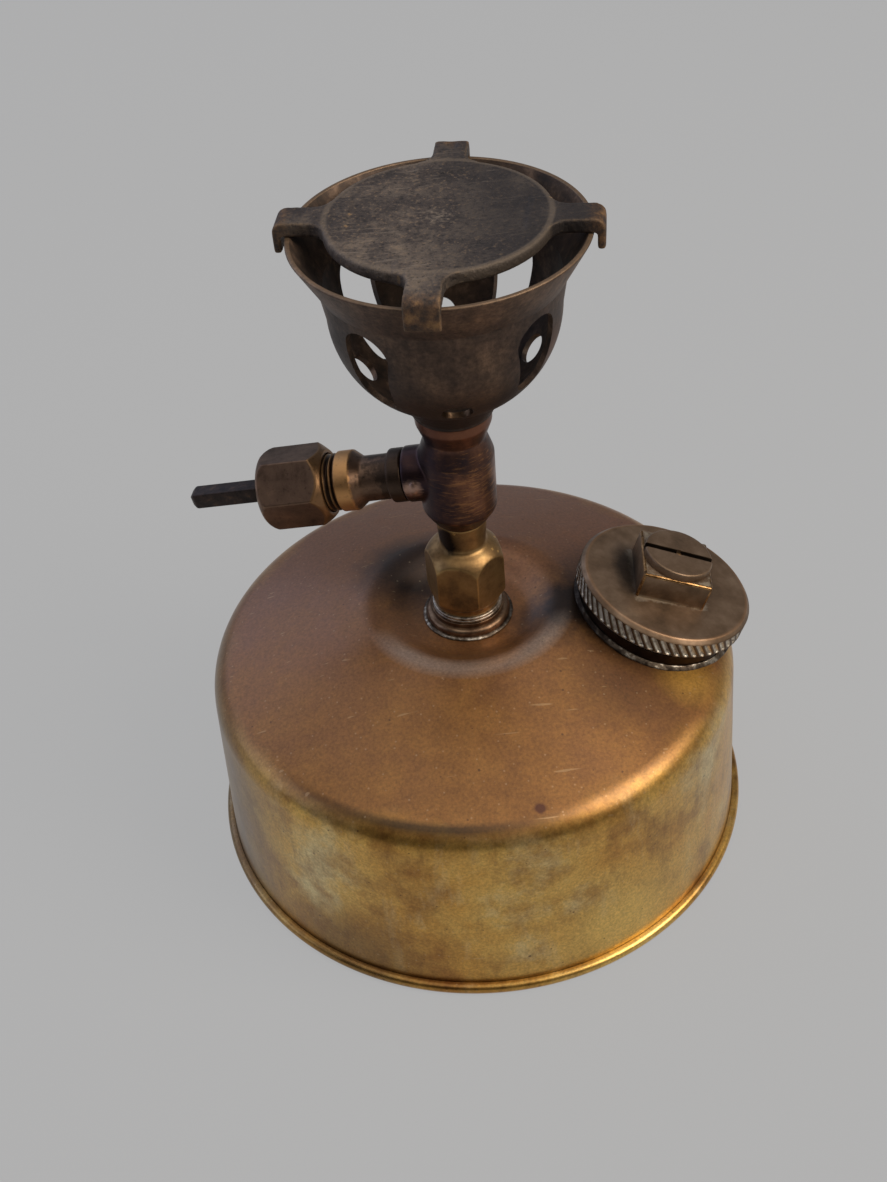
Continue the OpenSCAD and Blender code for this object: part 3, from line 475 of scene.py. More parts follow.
# Heat-stained brass: purple-black bloom above, red copper where the scale is scratched off round the
# barrel, and a pink smear of brazing metal under the boss.
tee_brass, tree, shader, place = new_finish("purple_heat_stained_brass")
bloom = add(tree, "TexNoise", {"Vector": place, "Scale": 1 / 0.007, "Detail": 6, "Roughness": 0.6})
level = add(tree, "Mapping", {"Vector": place, "Scale": (0.15, 0.15, 1)})
scratch = add(tree, "TexNoise", {"Vector": level, "Scale": 1 / 0.00045, "Detail": 3, "Roughness": 0.7})
colour = add(tree, "ValToRGB", {"Fac": bloom}, [(0.28, "302a30"), (0.45, "50382f"), (0.6, "714e3c"),
                                                (0.75, "8f694e")])
by_belly = add(tree, "VectorMath", {0: place, 1: (3 * MM, -7 * MM, 86 * MM)}, operation="DISTANCE")
scraped_here = add(tree, "MapRange", {"Value": by_belly, "From Min": 0.011, "From Max": 0.004,
                                      "To Max": 0.09})
scraping = add(tree, "Math", {0: scratch, 1: scraped_here}, operation="ADD")
scraped = layer(tree, colour, "a8774c", scraping, 0.58, 0.7, full=0.5)
split = add(tree, "SeparateXYZ", {"Vector": place})
scorch_edge = add(tree, "Math", {0: bloom, 1: 12 * MM, 2: split.outputs["X"]}, operation="MULTIPLY_ADD")
scorched = layer(tree, scraped, "29212a", scorch_edge, 0.006, 0.001, full=0.75)
ringed = layer(tree, scorched, "7d4f38", split.outputs["Z"], 0.0985, 0.1, full=0.5)
joined = patch(tree, ringed, "b3917f", place, (-9, -3.6, 86.6), 3.3, 2.2, full=0.8, noise=scratch, rag=2)
edges = add(tree, "NewGeometry").outputs["Pointiness"]
filled = layer(tree, joined, "6f6570", edges, 0.475, 0.44, full=0.6)
gloss = add(tree, "MapRange", {"Value": bloom, "From Min": 0.3, "From Max": 0.7, "To Min": 0.46,
                               "To Max": 0.3})
bump = add(tree, "Bump", {"Height": scratch, "Strength": 0.12, "Distance": 0.0002})
wire(tree, shader, {"Base Color": filled, "Roughness": gloss, "Normal": bump, "Metallic": 0.9})
tee.data.materials.append(tee_brass)
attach(tee, "tank")
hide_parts("vaporizer_tee")

# Valve arm: a turned brass tube brazed to the tee, with a collar, a shoulder and a fine thread for
# the packing nut, of which the first turns show.
arm_outline = drawn([
    (3.08, 7.42), (4.19, 7.42), (4.19, 9.9), (5.2, 9.9, 0.4), (5.2, 12.8, 0.5), (4.4, 12.8, 0.2),
    (4.4, 18.1, 1.0), (5.85, 20.0, 0.5), (5.85, 22.8, 0.3), (5.3, 23.25)])


def thread(root_r, crest_r, low, pitch, turns, crest):
    """Outline of a thread: ridges one pitch apart, with a flat crest between two heights of each."""
    ridges = []
    for z in [low + pitch * k for k in range(turns)]:
        ridges += [Vector((root_r, z)), Vector((crest_r, z + crest[0])), Vector((crest_r, z + crest[1])),
                   Vector((root_r, z + crest[0] + crest[1]))]
    return ridges


arm_outline += thread(5.0, 5.53, 23.35, 1.2, 8, (0.45, 0.6))
arm_outline += drawn([(5.0, 33.2), (4.2, 33.2), (4.2, 26.2), (3.08, 26.2), (3.08, 7.42)])
valve_arm = turned("valve_arm_turned", arm_outline, 96)
set_down(valve_arm, arm_place, arm_turn)
smooth(valve_arm)

# Packing nut: a hexagon brass nut with a domed outer end, screwed over the arm's thread. It presses
# the gland and packing on the spindle.
nut = turned("packing_nut_turned", drawn([
    (5.72, 25.2), (6.45, 25.2), (bar_r, 27.3), (bar_r, 38.6, 3.0), (2.72, 38.6), (2.72, 35.05),
    (5.72, 35.05), (5.72, 25.2)], 8))
cut(nut, hexagon(12, 20, 45), "INTERSECT")
worn(nut, 0.18, 3)
set_down(nut, arm_place, arm_turn)

# Brown brass: even brown satin tarnish, black burnt film by the tee, a rubbed copper shoulder, oil-black
# thread and a bare chamfer on the nut.
arm_brass, tree, shader, place = new_finish("brown_satin_brass")
own = add(tree, "Mapping", {"Vector": place, "Location": arm_place, "Rotation": arm_turn},
          vector_type="TEXTURE")
along = add(tree, "SeparateXYZ", {"Vector": own}).outputs["Z"]
radius = radius_of(tree, own)
tarnish = add(tree, "TexNoise", {"Vector": place, "Scale": 1 / 0.0045, "Detail": 7, "Roughness": 0.66})
fine = add(tree, "TexNoise", {"Vector": place, "Scale": 1 / 0.0007, "Detail": 4, "Roughness": 0.65})
colour = add(tree, "ValToRGB", {"Fac": tarnish}, [(0.3, "4d3a2d"), (0.46, "695242"), (0.6, "785e4b"),
                                                  (0.75, "8f7059")])
edges = add(tree, "NewGeometry").outputs["Pointiness"]
rubbed = layer(tree, colour, "a37c52", edges, 0.53, 0.6, full=0.6)
burnt_to = add(tree, "Math", {0: tarnish, 1: -26 * MM, 2: along}, operation="MULTIPLY_ADD")
filmed = layer(tree, rubbed, "30261f", burnt_to, 0.003, 0.001, full=0.8)
band_gap = apart(tree, along, 21.4 * MM)
band_end = add(tree, "Math", {0: fine, 1: 1.2 * MM, 2: band_gap}, operation="MULTIPLY_ADD")
coppery = layer(tree, filmed, "cf9a60", band_end, 0.0024, 0.0019, full=0.8)
thread_gap = apart(tree, along, 24.2 * MM)
thread_colour = layer(tree, "261a13", "8c6a44", radius, 0.0053, 0.0055)
threaded = layer(tree, coppery, thread_colour, thread_gap, 0.0012, 0.0009, full=0.8)
cone_r = add(tree, "Math", {0: along, 1: -0.8254, 2: radius}, operation="MULTIPLY_ADD")
cone_gap = apart(tree, cone_r, -14.35 * MM)
bare = add(tree, "MapRange", {"Value": cone_gap, "From Min": 0.0004, "From Max": 0.0002, "To Max": 0.6})
on_nut = add(tree, "MapRange", {"Value": along, "From Min": 0.0251, "From Max": 0.0252})
bare_nut = add(tree, "Math", {0: bare, 1: on_nut}, operation="MULTIPLY")
chamfered = add(tree, "Mix", {"Factor": bare_nut, "A": threaded, "B": "8f6b43"}, data_type="RGBA")
dusted = shade(tree, chamfered, fine, 0.3, 0.42, 0.6, 1)
gloss = add(tree, "MapRange", {"Value": tarnish, "From Min": 0.3, "From Max": 0.7, "To Min": 0.48,
                               "To Max": 0.36})
bump = add(tree, "Bump", {"Height": fine, "Strength": 0.25, "Distance": 0.00012})
wire(tree, shader, {"Base Color": dusted, "Roughness": gloss, "Normal": bump, "Metallic": 0.85})
for piece, node in ((valve_arm, "valve_arm"), (nut, "packing_nut")):
    piece.data.materials.append(arm_brass)
    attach(piece, "tank")
    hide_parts(node)

# Gland ring: a small turned brass ring between the nut and the packing, loose on the spindle. It is
# covered, so its brass has stayed clean.
clean_brass, tree, shader, place = new_finish("clean_turned_brass")
film = add(tree, "TexNoise", {"Vector": place, "Scale": 1 / 0.0025, "Detail": 4, "Roughness": 0.6})
colour = add(tree, "ValToRGB", {"Fac": film}, [(0.3, "94713a"), (0.5, "b8954f"), (0.7, "cfb16c")])
gloss = add(tree, "MapRange", {"Value": film, "From Min": 0.3, "From Max": 0.7, "To Min": 0.36,
                               "To Max": 0.24})
wire(tree, shader, {"Base Color": colour, "Roughness": gloss, "Metallic": 1})
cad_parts["gland_ring"].material_slots[0].material = clean_brass

# Packing: rings of plaited yarn filled with graphite, laid round the spindle in the arm's end. The nut
# presses them tight.
graphite, tree, shader, place = new_finish("graphited_yarn")
plait = add(tree, "TexVoronoi", {"Vector": place, "Scale": 1 / 0.0009})
colour = add(tree, "ValToRGB", {"Fac": plait}, [(0.1, "4a4a4c"), (0.5, "2c2c2e"), (0.9, "171718")])
bump = add(tree, "Bump", {"Height": plait, "Strength": 0.6, "Distance": 0.0003}, invert=True)
wire(tree, shader, {"Base Color": colour, "Normal": bump, "Metallic": 0.3, "Roughness": 0.5})
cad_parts["spindle_packing"].material_slots[0].material = graphite

# Spindle: a steel needle, threaded in the arm, with a filed square end for a loose key. The square
# has gone black with oxide.
spindle = turned("spindle_turned", drawn([
    (0, 1.58), (0.95, 1.58), (2.9, 3.55), (2.5, 3.8), (2.5, 14.2), (2.95, 14.6), (2.95, 23.8), (2.5, 24.14),
    (2.5, 38.55), (0, 38.55)]), 48)
square = blank(bpy.ops.mesh.primitive_cube_add, size=3.3 * MM, location=(0, 0, 40.1 * MM))


def pick_faces(piece, wanted):
    """Leaves a piece in edit mode with only the wanted faces selected."""
    alone(piece)
    bpy.ops.object.mode_set(mode="EDIT")
    bpy.ops.mesh.select_mode(type="FACE")
    bpy.ops.mesh.select_all(action="DESELECT")
    bpy.ops.object.mode_set(mode="OBJECT")
    for face in piece.data.polygons:
        face.select = wanted(face)
    bpy.ops.object.mode_set(mode="EDIT")


pick_faces(square, lambda face: face.normal.z > 0.9)
bpy.ops.mesh.extrude_region_move(TRANSFORM_OT_translate={"value": (0, 0, 11.55 * MM)})
bpy.ops.mesh.extrude_region_move(TRANSFORM_OT_translate={"value": (0, 0, 0.8 * MM)})
bpy.ops.transform.resize(value=(0.6, 0.6, 1), center_override=(0, 0, 54.1 * MM))
bpy.ops.object.mode_set(mode="OBJECT")
modified(square, "BEVEL", width=0.25 * MM, segments=3)
spindle.select_set(True)
bpy.context.view_layer.objects.active = spindle
bpy.ops.object.join()
set_down(spindle, arm_place, arm_turn)
smooth(spindle, 30)

# Oxidised steel: near-black brown, with small rust blooms and a faint rubbed sheen.
steel, tree, shader, place = new_finish("oxidised_steel")
rust = add(tree, "TexNoise", {"Vector": place, "Scale": 1 / 0.0018, "Detail": 6, "Roughness": 0.7})
colour = add(tree, "ValToRGB", {"Fac": rust}, [(0.35, "221b19"), (0.55, "382c27"), (0.72, "5a4433")])
bump = add(tree, "Bump", {"Height": rust, "Strength": 0.45, "Distance": 0.0003})
wire(tree, shader, {"Base Color": colour, "Normal": bump, "Metallic": 0.7, "Roughness": 0.48})
spindle.data.materials.append(steel)
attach(spindle, "spindle")
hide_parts("spindle")

# Burner bell: a turned bronze-brown bowl with a crease and a flared rim, screwed on the tee. Four
# egg-shaped holes and four small low ones, filed by hand, let air in; the inside is black with soot.
bowl_r = 20.5
bowl_z = 124.202
bell_wall = 1


def bowl_arc(radius, angles):
    """Points of the bowl's round about its middle, at angles in degrees."""
    return [Vector((radius * math.cos(math.radians(a)), bowl_z + radius * math.sin(math.radians(a))))
            for a in angles]


bell_outline = drawn([(5.0, 101.82), (7.6, 101.82, 0.15), (7.6, 102.42, 0.2), (10.86, 106.82)])
bell_outline += bowl_arc(bowl_r, [-58 + 2.9 * k for k in range(21)])[1:]
bell_outline += drawn([
    (bowl_r, bowl_z), (21.4, 129.902), (26.0, 138.202, 0.3), (25.0, 138.202, 0.25), (20.4, 129.902)])[1:]
bell_outline += bowl_arc(bowl_r - bell_wall, [-2.9 * k for k in range(21)])
bell_outline += drawn([(5.0, 105.4), (5.0, 101.82)])
bell = turned("burner_bell_turned", bell_outline, 240)


def air_hole(low_r, low_z):
    """A cutter for one egg-shaped hole: two round bars on the +X side under one skin."""
    bars = {"vertices": 48, "depth": 20 * MM, "rotation": (0, math.pi / 2, 0)}
    cutter = blank(bpy.ops.mesh.primitive_cylinder_add, radius=4.6 * MM,
                   location=(18 * MM, 0, 123.902 * MM), **bars)
    bpy.ops.object.mode_set(mode="EDIT")
    bpy.ops.mesh.primitive_cylinder_add(radius=low_r * MM, location=(18 * MM, 0, low_z * MM), **bars)
    bpy.ops.mesh.select_all(action="SELECT")
    bpy.ops.mesh.convex_hull()
    bpy.ops.object.mode_set(mode="OBJECT")
    return cutter


for turn, low_r, low_z in ((45, 3.0, 112.5), (140, 3.5, 112), (225, 3.0, 114.6), (314, 3.0, 116)):
    egg = air_hole(low_r, low_z)
    set_down(egg, (0, 0, 0), (0, 0, math.radians(turn)))
    cut(bell, egg)
low_hole_r = 2.8
filed_axes = []
for turn, tilt, filed in ((4, 129, False), (90, 127, False), (177, 130, True), (270, 127, True)):
    drill = blank(bpy.ops.mesh.primitive_cylinder_add, vertices=40, radius=low_hole_r * MM, depth=4 * MM,
                  location=(0, 0, 19.5 * MM))
    drill_turn = (0, math.radians(tilt), math.radians(turn))
    set_down(drill, (0, 0, bowl_z * MM), drill_turn)
    cut(bell, drill)
    if filed:
        filed_axes.append(Euler(drill_turn).to_matrix() @ Vector((0, 0, 1)))
alone(bell)
bpy.ops.object.mode_set(mode="EDIT")
bpy.ops.mesh.select_all(action="SELECT")
bpy.ops.mesh.remove_doubles(threshold=5e-6)
bpy.ops.mesh.fill_holes(sides=8)
bpy.ops.mesh.normals_make_consistent(inside=False)
bpy.ops.object.mode_set(mode="OBJECT")
smooth(bell, 16)

# Heat-darkened bronze-brown brass: dark brown with faint upright streaks, soot round the holes, darker
# towards the bottom, a painted copper sheen by one hole, and a thin rubbed line on the lip.
bell_brass, tree, shader, place = new_finish("heat_darkened_brass")
bloom = add(tree, "TexNoise", {"Vector": place, "Scale": 1 / 0.012, "Detail": 6, "Roughness": 0.62})
upright = add(tree, "Mapping", {"Vector": place, "Scale": (1, 1, 0.12)})
streak = add(tree, "TexNoise", {"Vector": upright, "Scale": 1 / 0.0022, "Detail": 4, "Roughness": 0.6})
colour = add(tree, "ValToRGB", {"Fac": bloom}, [(0.3, "352a24"), (0.48, "524034"), (0.62, "654f3e"),
                                                (0.75, "79614f")])
streaked = shade(tree, colour, streak, 0.34, 0.62, 0.7, 1.12)
quarter = add(tree, "VectorMath", {0: place}, operation="ABSOLUTE")
# Soot round the air holes.
shade_and_soot = patch(tree, streaked, "261e1c", quarter, (15, 12, 120), 14, 7, full=0.65)
grit = add(tree, "TexNoise", {"Vector": place, "Scale": 1 / 0.0008, "Detail": 3, "Roughness": 0.65})
gritty = shade(tree, shade_and_soot, grit, 0.3, 0.7, 0.62, 1.45)
# Painted highlight: a copper sheen on the bowl by the front right hole.
painted_copper_sheen = patch(tree, gritty, "7a4c2e", place, (17, -11, 116), 9, 3, full=0.35)
height = add(tree, "SeparateXYZ", {"Vector": place}).outputs["Z"]
# Darker towards the bottom of the bowl.
darker_towards_bottom = layer(tree, painted_copper_sheen, "2a1f1a", height, 0.12, 0.114, full=0.75)
lipped = layer(tree, darker_towards_bottom, "a58a6c", height, 0.13795, 0.1381, full=0.3)
gloss = add(tree, "MapRange", {"Value": bloom, "From Min": 0.3, "From Max": 0.7, "To Min": 0.6,
                               "To Max": 0.48})
bump = add(tree, "Bump", {"Height": grit, "Strength": 0.3, "Distance": 0.0002})
wire(tree, shader, {"Base Color": lipped, "Roughness": gloss, "Normal": bump, "Metallic": 0.6})

# Soot: dull black-brown crust, paler where the flame has burnt it off. The lower edges of two small
# holes are filed bare.
soot, tree, shader, place = new_finish("soot_on_brass")
crust = add(tree, "TexNoise", {"Vector": place, "Scale": 1 / 0.004, "Detail": 6, "Roughness": 0.7})
colour = add(tree, "ValToRGB", {"Fac": crust}, [(0.35, "2e251e"), (0.55, "544235"), (0.72, "846b57")])
bump = add(tree, "Bump", {"Height": crust, "Strength": 0.4, "Distance": 0.0004})
wire(tree, shader, {"Base Color": colour, "Normal": bump, "Metallic": 0.35, "Roughness": 0.62})
for finish in (bell_brass, soot, bush_brass):
    bell.data.materials.append(finish)
soot_low = 0.104
soot_high = 0.1379
for face in bell.data.polygons:
    outward = face.normal.x * face.center.x + face.normal.y * face.center.y
    inside = outward < 0.4 * Vector(face.center[:2]).length
    face.material_index = 1 if inside and soot_low < face.center.z < soot_high else 0
    reach = face.center - Vector((0, 0, bowl_z * MM))
    for axis in filed_axes:
        off_axis = (reach - reach.dot(axis) * axis).length
        if reach.dot(axis) > 0 and off_axis < (low_hole_r + 0.1) * MM and face.normal.z > 0.2:
            face.material_index = 2
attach(bell, "tank")
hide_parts("burner_bell")

# Jet: a small turned brass nipple with a fine hole, screwed into the tee's top on the bell's axis.
# Its brass is as clean as the gland ring's.
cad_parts["jet"].material_slots[0].material = clean_brass

# Flame plate: a brass casting, a shallow hollowed disc with four arms that lie on the bell's rim and
# hook down outside it. Its edges and the arms' roots are soft from the mould, one arm has a dimple,
# and soot crusts it all over.
plate = turned("flame_plate_cast", drawn([
    (0, 138.25), (19.4, 138.25, 0.5), (19.4, 140.832, 0.6), (18.2, 140.6), (12, 140.42), (6, 140.2),
    (0, 140.132)]), 160)
arm_half = 3
hook_turn = -10.5
hook_path = drawn([
    (13, 138.26), (26.3, 138.26, 0.35), (26.3, 135.22), (27.68, 135.22, 0.4), (27.68, 140.832, 2),
    (18, 140.832), (13, 140.4), (13, 138.26)])
root_r = 3
root_arc = [Vector((21.58 + root_r * math.cos(a), arm_half + root_r + root_r * math.sin(a)))
            for a in (math.radians(195.5 + 74.5 * k / 6) for k in range(7))]
root_path = [Vector((15, 5.2))] + root_arc + [Vector((p.x, -p.y)) for p in root_arc[::-1]]
root_path += [Vector((15, -5.2)), Vector((15, 5.2))]


def slab(name, path, low, high):
    """A flat bar of a traced outline, from low to high across it, in mm."""
    bar = traced(name, path)
    bpy.ops.mesh.edge_face_add()
    bpy.ops.mesh.extrude_region_move(TRANSFORM_OT_translate={"value": (0, (high - low) * MM, 0)})
    bpy.ops.mesh.select_all(action="SELECT")
    bpy.ops.transform.translate(value=(0, low * MM, 0))
    bpy.ops.mesh.normals_make_consistent(inside=False)
    bpy.ops.object.mode_set(mode="OBJECT")
    return bar


for k in range(4):
    turn = math.radians(90 * k + hook_turn)
    hook = slab("plate_hook", hook_path, -arm_half, arm_half)
    set_down(hook, (0, 0, 0), (0, 0, turn))
    cut(plate, hook, "UNION")
    root = slab("plate_arm_root", root_path, 0, 2.45)
    set_down(root, (0, 0, 138.3 * MM), (math.pi / 2, 0, turn))
    cut(plate, root, "UNION")
dimple = blank(bpy.ops.mesh.primitive_uv_sphere_add, segments=32, ring_count=16, radius=MM,
               scale=(1.1, 2.0, 0.7), location=(4.6 * MM, 24.6 * MM, 140.9 * MM))
cut(plate, dimple)
worn(plate, 0.26, 12)

# Sooty cast brass: rough dark grey-brown skin with tan grains of scale, brown on the hooks, painted shade
# on its right half.
cast, tree, shader, place = new_finish("sooty_rough_cast_brass")
crust = add(tree, "TexNoise", {"Vector": place, "Scale": 1 / 0.008, "Detail": 7, "Roughness": 0.68})
grit = add(tree, "TexNoise", {"Vector": place, "Scale": 1 / 0.0007, "Detail": 4, "Roughness": 0.65})
colour = add(tree, "ValToRGB", {"Fac": crust}, [(0.3, "2c2624"), (0.47, "453c37"), (0.58, "63574d"),
                                                (0.72, "857462")])
speckled = layer(tree, colour, "8a745c", grit, 0.56, 0.68, full=0.6)
gritty = shade(tree, speckled, grit, 0.32, 0.47, 0.3, 1)
slant = add(tree, "Mapping", {"Vector": place, "Rotation": (0, 0, 0.35), "Scale": (0.07, 1, 1)})
lines = add(tree, "TexNoise", {"Vector": slant, "Scale": 1 / 0.0007, "Detail": 3, "Roughness": 0.7})
scratched = layer(tree, gritty, "8d7f70", lines, 0.6, 0.7, full=0.55)
split = add(tree, "SeparateXYZ", {"Vector": place})
# Painted shade: the plate's right half is made darker.
right_shade_edge = add(tree, "Math", {0: crust, 1: 30 * MM, 2: split.outputs["X"]}, operation="MULTIPLY_ADD")
painted_right_shade = layer(tree, scratched, "231e1d", right_shade_edge, 0.012, 0.026, full=0.7)
radius = radius_of(tree, place)
ash_edge = add(tree, "Math", {0: grit, 1: -14 * MM, 2: radius}, operation="MULTIPLY_ADD")
ashed = layer(tree, painted_right_shade, "9a8c7c", ash_edge, -0.005, -0.0075, full=0.35)
rim_gap = apart(tree, radius, 18.9 * MM)
rimmed = layer(tree, ashed, "7c6d5d", rim_gap, 0.0007, 0.0003, full=0.4)
sideways = add(tree, "Math", {0: split.outputs["X"]}, operation="ABSOLUTE")
darker = layer(tree, rimmed, "2b2320", sideways, 0.0185, 0.0225, full=0.5)
hook_edge = add(tree, "Math", {0: grit, 1: 4 * MM, 2: radius}, operation="MULTIPLY_ADD")
scale = add(tree, "TexNoise", {"Vector": place, "Scale": 1 / 0.002, "Detail": 5, "Roughness": 0.7})
hook_colour = add(tree, "ValToRGB", {"Fac": scale}, [(0.38, "2b1f17"), (0.52, "5a3f27"), (0.66, "85623a")])
hooked = layer(tree, darker, hook_colour, hook_edge, 0.0265, 0.0292, full=0.8)
edges = add(tree, "NewGeometry").outputs["Pointiness"]
rubbed = layer(tree, hooked, "8f7352", edges, 0.52, 0.58, full=0.7)
bump = add(tree, "Bump", {"Height": grit, "Strength": 0.7, "Distance": 0.0003})
wire(tree, shader, {"Base Color": rubbed, "Normal": bump, "Metallic": 0.3, "Roughness": 0.64})
plate.data.materials.append(cast)
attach(plate, "plate")
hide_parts("flame_plate")

# Filler neck: a turned brass flange set on the dome and soldered, threaded inside for the cap.
# A bright, uneven fillet of solder runs round it and follows the dome's curve.
neck = turned("filler_neck_turned", drawn([
    (10.6, -9), (12.4, -9), (12.4, -3.4), (16.3, -3.4), (16.3, 2.1, 0.3), (10.6, 2.1, 0.2),
    (10.6, -9)]), 160)
set_down(neck, filler_point, filler_turn)
smooth(neck)
neck_solder = turned("filler_neck_solder", drawn([
    (15.9, -0.8), (18.0, -0.35), (17.2, 0.2, 0.6), (16.5, 0.95, 0.3), (15.9, 0.9), (15.9, -0.8)], 4), 160)
lumpy(neck_solder, 0.4, seed=9, rounds=8)
neck_out = 38.1
dome_bend = math.sin(filler_slope) / (neck_out * MM)
for vertex in neck_solder.data.vertices:
    vertex.co.z -= 0.5 * dome_bend * vertex.co.y ** 2
set_down(neck_solder, filler_point, filler_turn)
neck.data.materials.append(bush_brass)
neck_solder.data.materials.append(solder)
for piece in (neck, neck_solder):
    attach(piece, "tank")
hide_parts("filler_neck")

# Cap gasket: a flat ring cut from petrol-proof rubber, held on the cap's shank. The cap presses it on
# the neck.
rubber, tree, shader, place = new_finish("petrol_proof_rubber")
perish = add(tree, "TexNoise", {"Vector": place, "Scale": 1 / 0.0016, "Detail": 5, "Roughness": 0.65})
colour = add(tree, "ValToRGB", {"Fac": perish}, [(0.3, "120f0e"), (0.55, "241e1b"), (0.75, "3a302a")])
bump = add(tree, "Bump", {"Height": perish, "Strength": 0.3, "Distance": 0.0002})
wire(tree, shader, {"Base Color": colour, "Normal": bump, "Roughness": 0.72})
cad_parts["cap_gasket"].material_slots[0].material = rubber

# Filler cap: turned brass with a slant-knurled rim, a square for a spanner and a hollow threaded
# shank that holds the safety valve.
rim_r = 17.9
knurl_z = 3.61
knurl_h = 3.15
rows = 10
columns = 480
square_lean = math.radians(4.5)
slot_lean = math.radians(-7)
cap_outline = drawn([(2.0, -4.84), (9.4, -4.84), (9.75, -4.6)])
cap_outline += thread(9.75, 10.38, -4.4, 1.5, 5, (0.5, 0.75))
cap_outline += drawn([(10.3, 3.16), (17.45, 3.16)])
cap_outline += [Vector((rim_r, knurl_z + knurl_h * k / rows)) for k in range(rows + 1)]
cap_outline += drawn([
    (rim_r, 6.76), (17.05, 7.66, 0.6), (4.5, 7.66), (4.5, -3.04), (2.0, -3.04), (2.0, -4.84)])[1:]
cap = turned("filler_cap_turned", cap_outline, columns)
for depth, phases in ((0.45, (3, 4, 5)), (0.22, (2, 6))):
    bpy.ops.object.mode_set(mode="EDIT")
    bpy.ops.mesh.select_mode(type="VERT")
    bpy.ops.mesh.select_all(action="DESELECT")
    bpy.ops.object.mode_set(mode="OBJECT")
    for vertex in cap.data.vertices:
        x, y, z = vertex.co
        if math.hypot(x, y) > (rim_r - 0.1) * MM:
            row = round((z / MM - knurl_z) * rows / knurl_h)
            column = round(math.atan2(y, x) / (2 * math.pi) * columns)
            vertex.select = 0 < row < rows and (column + row) % 8 in phases
    bpy.ops.object.mode_set(mode="EDIT")
    bpy.ops.transform.resize(value=(1 - depth / rim_r, 1 - depth / rim_r, 1), center_override=(0, 0, 0))
    bpy.ops.object.mode_set(mode="OBJECT")
spanner_square = blank(bpy.ops.mesh.primitive_cube_add, size=MM, location=(0, 0, 10.06 * MM),
                       rotation=(0, 0, -square_lean), scale=(14.2, 14.2, 6.8))
modified(spanner_square, "BEVEL", width=0.5 * MM, segments=3)
cut(cap, spanner_square, "UNION")

# Brown satin brass of the cap: brown tarnished top with a painted copper glint on its edge, chalk packed in
# the knurl and on the square's corners, pale dried residue round the square's foot, black grime and painted
# shade beside it, and the screw's slot darkened.
cap_brass, tree, shader, place = new_finish("brown_cap_brass")
own = add(tree, "Mapping", {"Vector": place, "Location": filler_point, "Rotation": filler_turn},
          vector_type="TEXTURE")
split = add(tree, "SeparateXYZ", {"Vector": own})
tarnish = add(tree, "TexNoise", {"Vector": own, "Scale": 1 / 0.007, "Detail": 6, "Roughness": 0.62})
fine = add(tree, "TexNoise", {"Vector": own, "Scale": 1 / 0.0012, "Detail": 4, "Roughness": 0.65})
radius = radius_of(tree, own)
colour = add(tree, "ValToRGB", {"Fac": tarnish}, [(0.3, "4e3f30"), (0.48, "735d48"), (0.62, "87705a"),
                                                  (0.76, "9c856b")])
in_band = add(tree, "MapRange", {"Value": split.outputs["Z"], "From Min": 0.0069, "From Max": 0.0067})
at_rim = add(tree, "MapRange", {"Value": radius, "From Min": 0.0172, "From Max": 0.01738})
on_knurl = add(tree, "Math", {0: in_band, 1: at_rim}, operation="MULTIPLY")
chalk = add(tree, "ValToRGB", {"Fac": fine}, [(0.3, "8a7b68"), (0.55, "e0d8c8")])
knurl = add(tree, "Mix", {"Factor": on_knurl, "A": colour, "B": chalk}, data_type="RGBA")
ridged = layer(tree, knurl, "57432f", radius, 0.01765, 0.01785)
# Painted highlight: a thin copper glint along the top's outer edge.
edge_gap = apart(tree, radius, 0.01705)
edge_glint_mask = add(tree, "MapRange", {"Value": edge_gap, "From Min": 0.0006, "From Max": 0.0002,
                                   "To Max": 0.15})
on_top = add(tree, "MapRange", {"Value": split.outputs["Z"], "From Min": 0.0073, "From Max": 0.0075})
line = add(tree, "Math", {0: edge_glint_mask, 1: on_top}, operation="MULTIPLY")
painted_edge_glint = add(tree, "Mix", {"Factor": line, "A": ridged, "B": "d09a6c"}, data_type="RGBA")
side_x = add(tree, "Math", {0: split.outputs["X"]}, operation="ABSOLUTE")
side_y = add(tree, "Math", {0: split.outputs["Y"]}, operation="ABSOLUTE")
from_square = add(tree, "Math", {0: side_x, 1: side_y}, operation="MAXIMUM")
ragged = add(tree, "Math", {0: fine, 1: 0.003, 2: from_square}, operation="MULTIPLY_ADD")
residue = add(tree, "MapRange", {"Value": ragged, "From Min": 0.0094, "From Max": 0.0086, "To Max": 0.6})
low = add(tree, "MapRange", {"Value": split.outputs["Z"], "From Min": 0.0084, "From Max": 0.0077})
crust = add(tree, "Math", {0: residue, 1: low}, operation="MULTIPLY")
crusted = add(tree, "Mix", {"Factor": crust, "A": painted_edge_glint, "B": "b8aa96"}, data_type="RGBA")
in_corner = add(tree, "MapRange", {"Value": radius, "From Min": 0.0071, "From Max": 0.0076})
high = add(tree, "MapRange", {"Value": split.outputs["Z"], "From Min": 0.0132, "From Max": 0.0134})
chalky = add(tree, "MapRange", {"Value": fine, "From Min": 0.42, "From Max": 0.6, "To Max": 0.7})
high_chalk = add(tree, "Math", {0: high, 1: chalky}, operation="MULTIPLY")
corner = add(tree, "Math", {0: in_corner, 1: high_chalk}, operation="MULTIPLY")
cornered = add(tree, "Mix", {"Factor": corner, "A": crusted, "B": "b5a791"}, data_type="RGBA")
# Painted shade and real grime, dark beside the square's left side.
beside = add(tree, "VectorMath", {0: own, 1: (1, 0.4, 1)}, operation="MULTIPLY")
shade_and_grime = patch(tree, cornered, "1f1813", beside, (-8.4, 0.6, 7.7), 4.2, 2.2, full=0.75, noise=fine, rag=1.5)
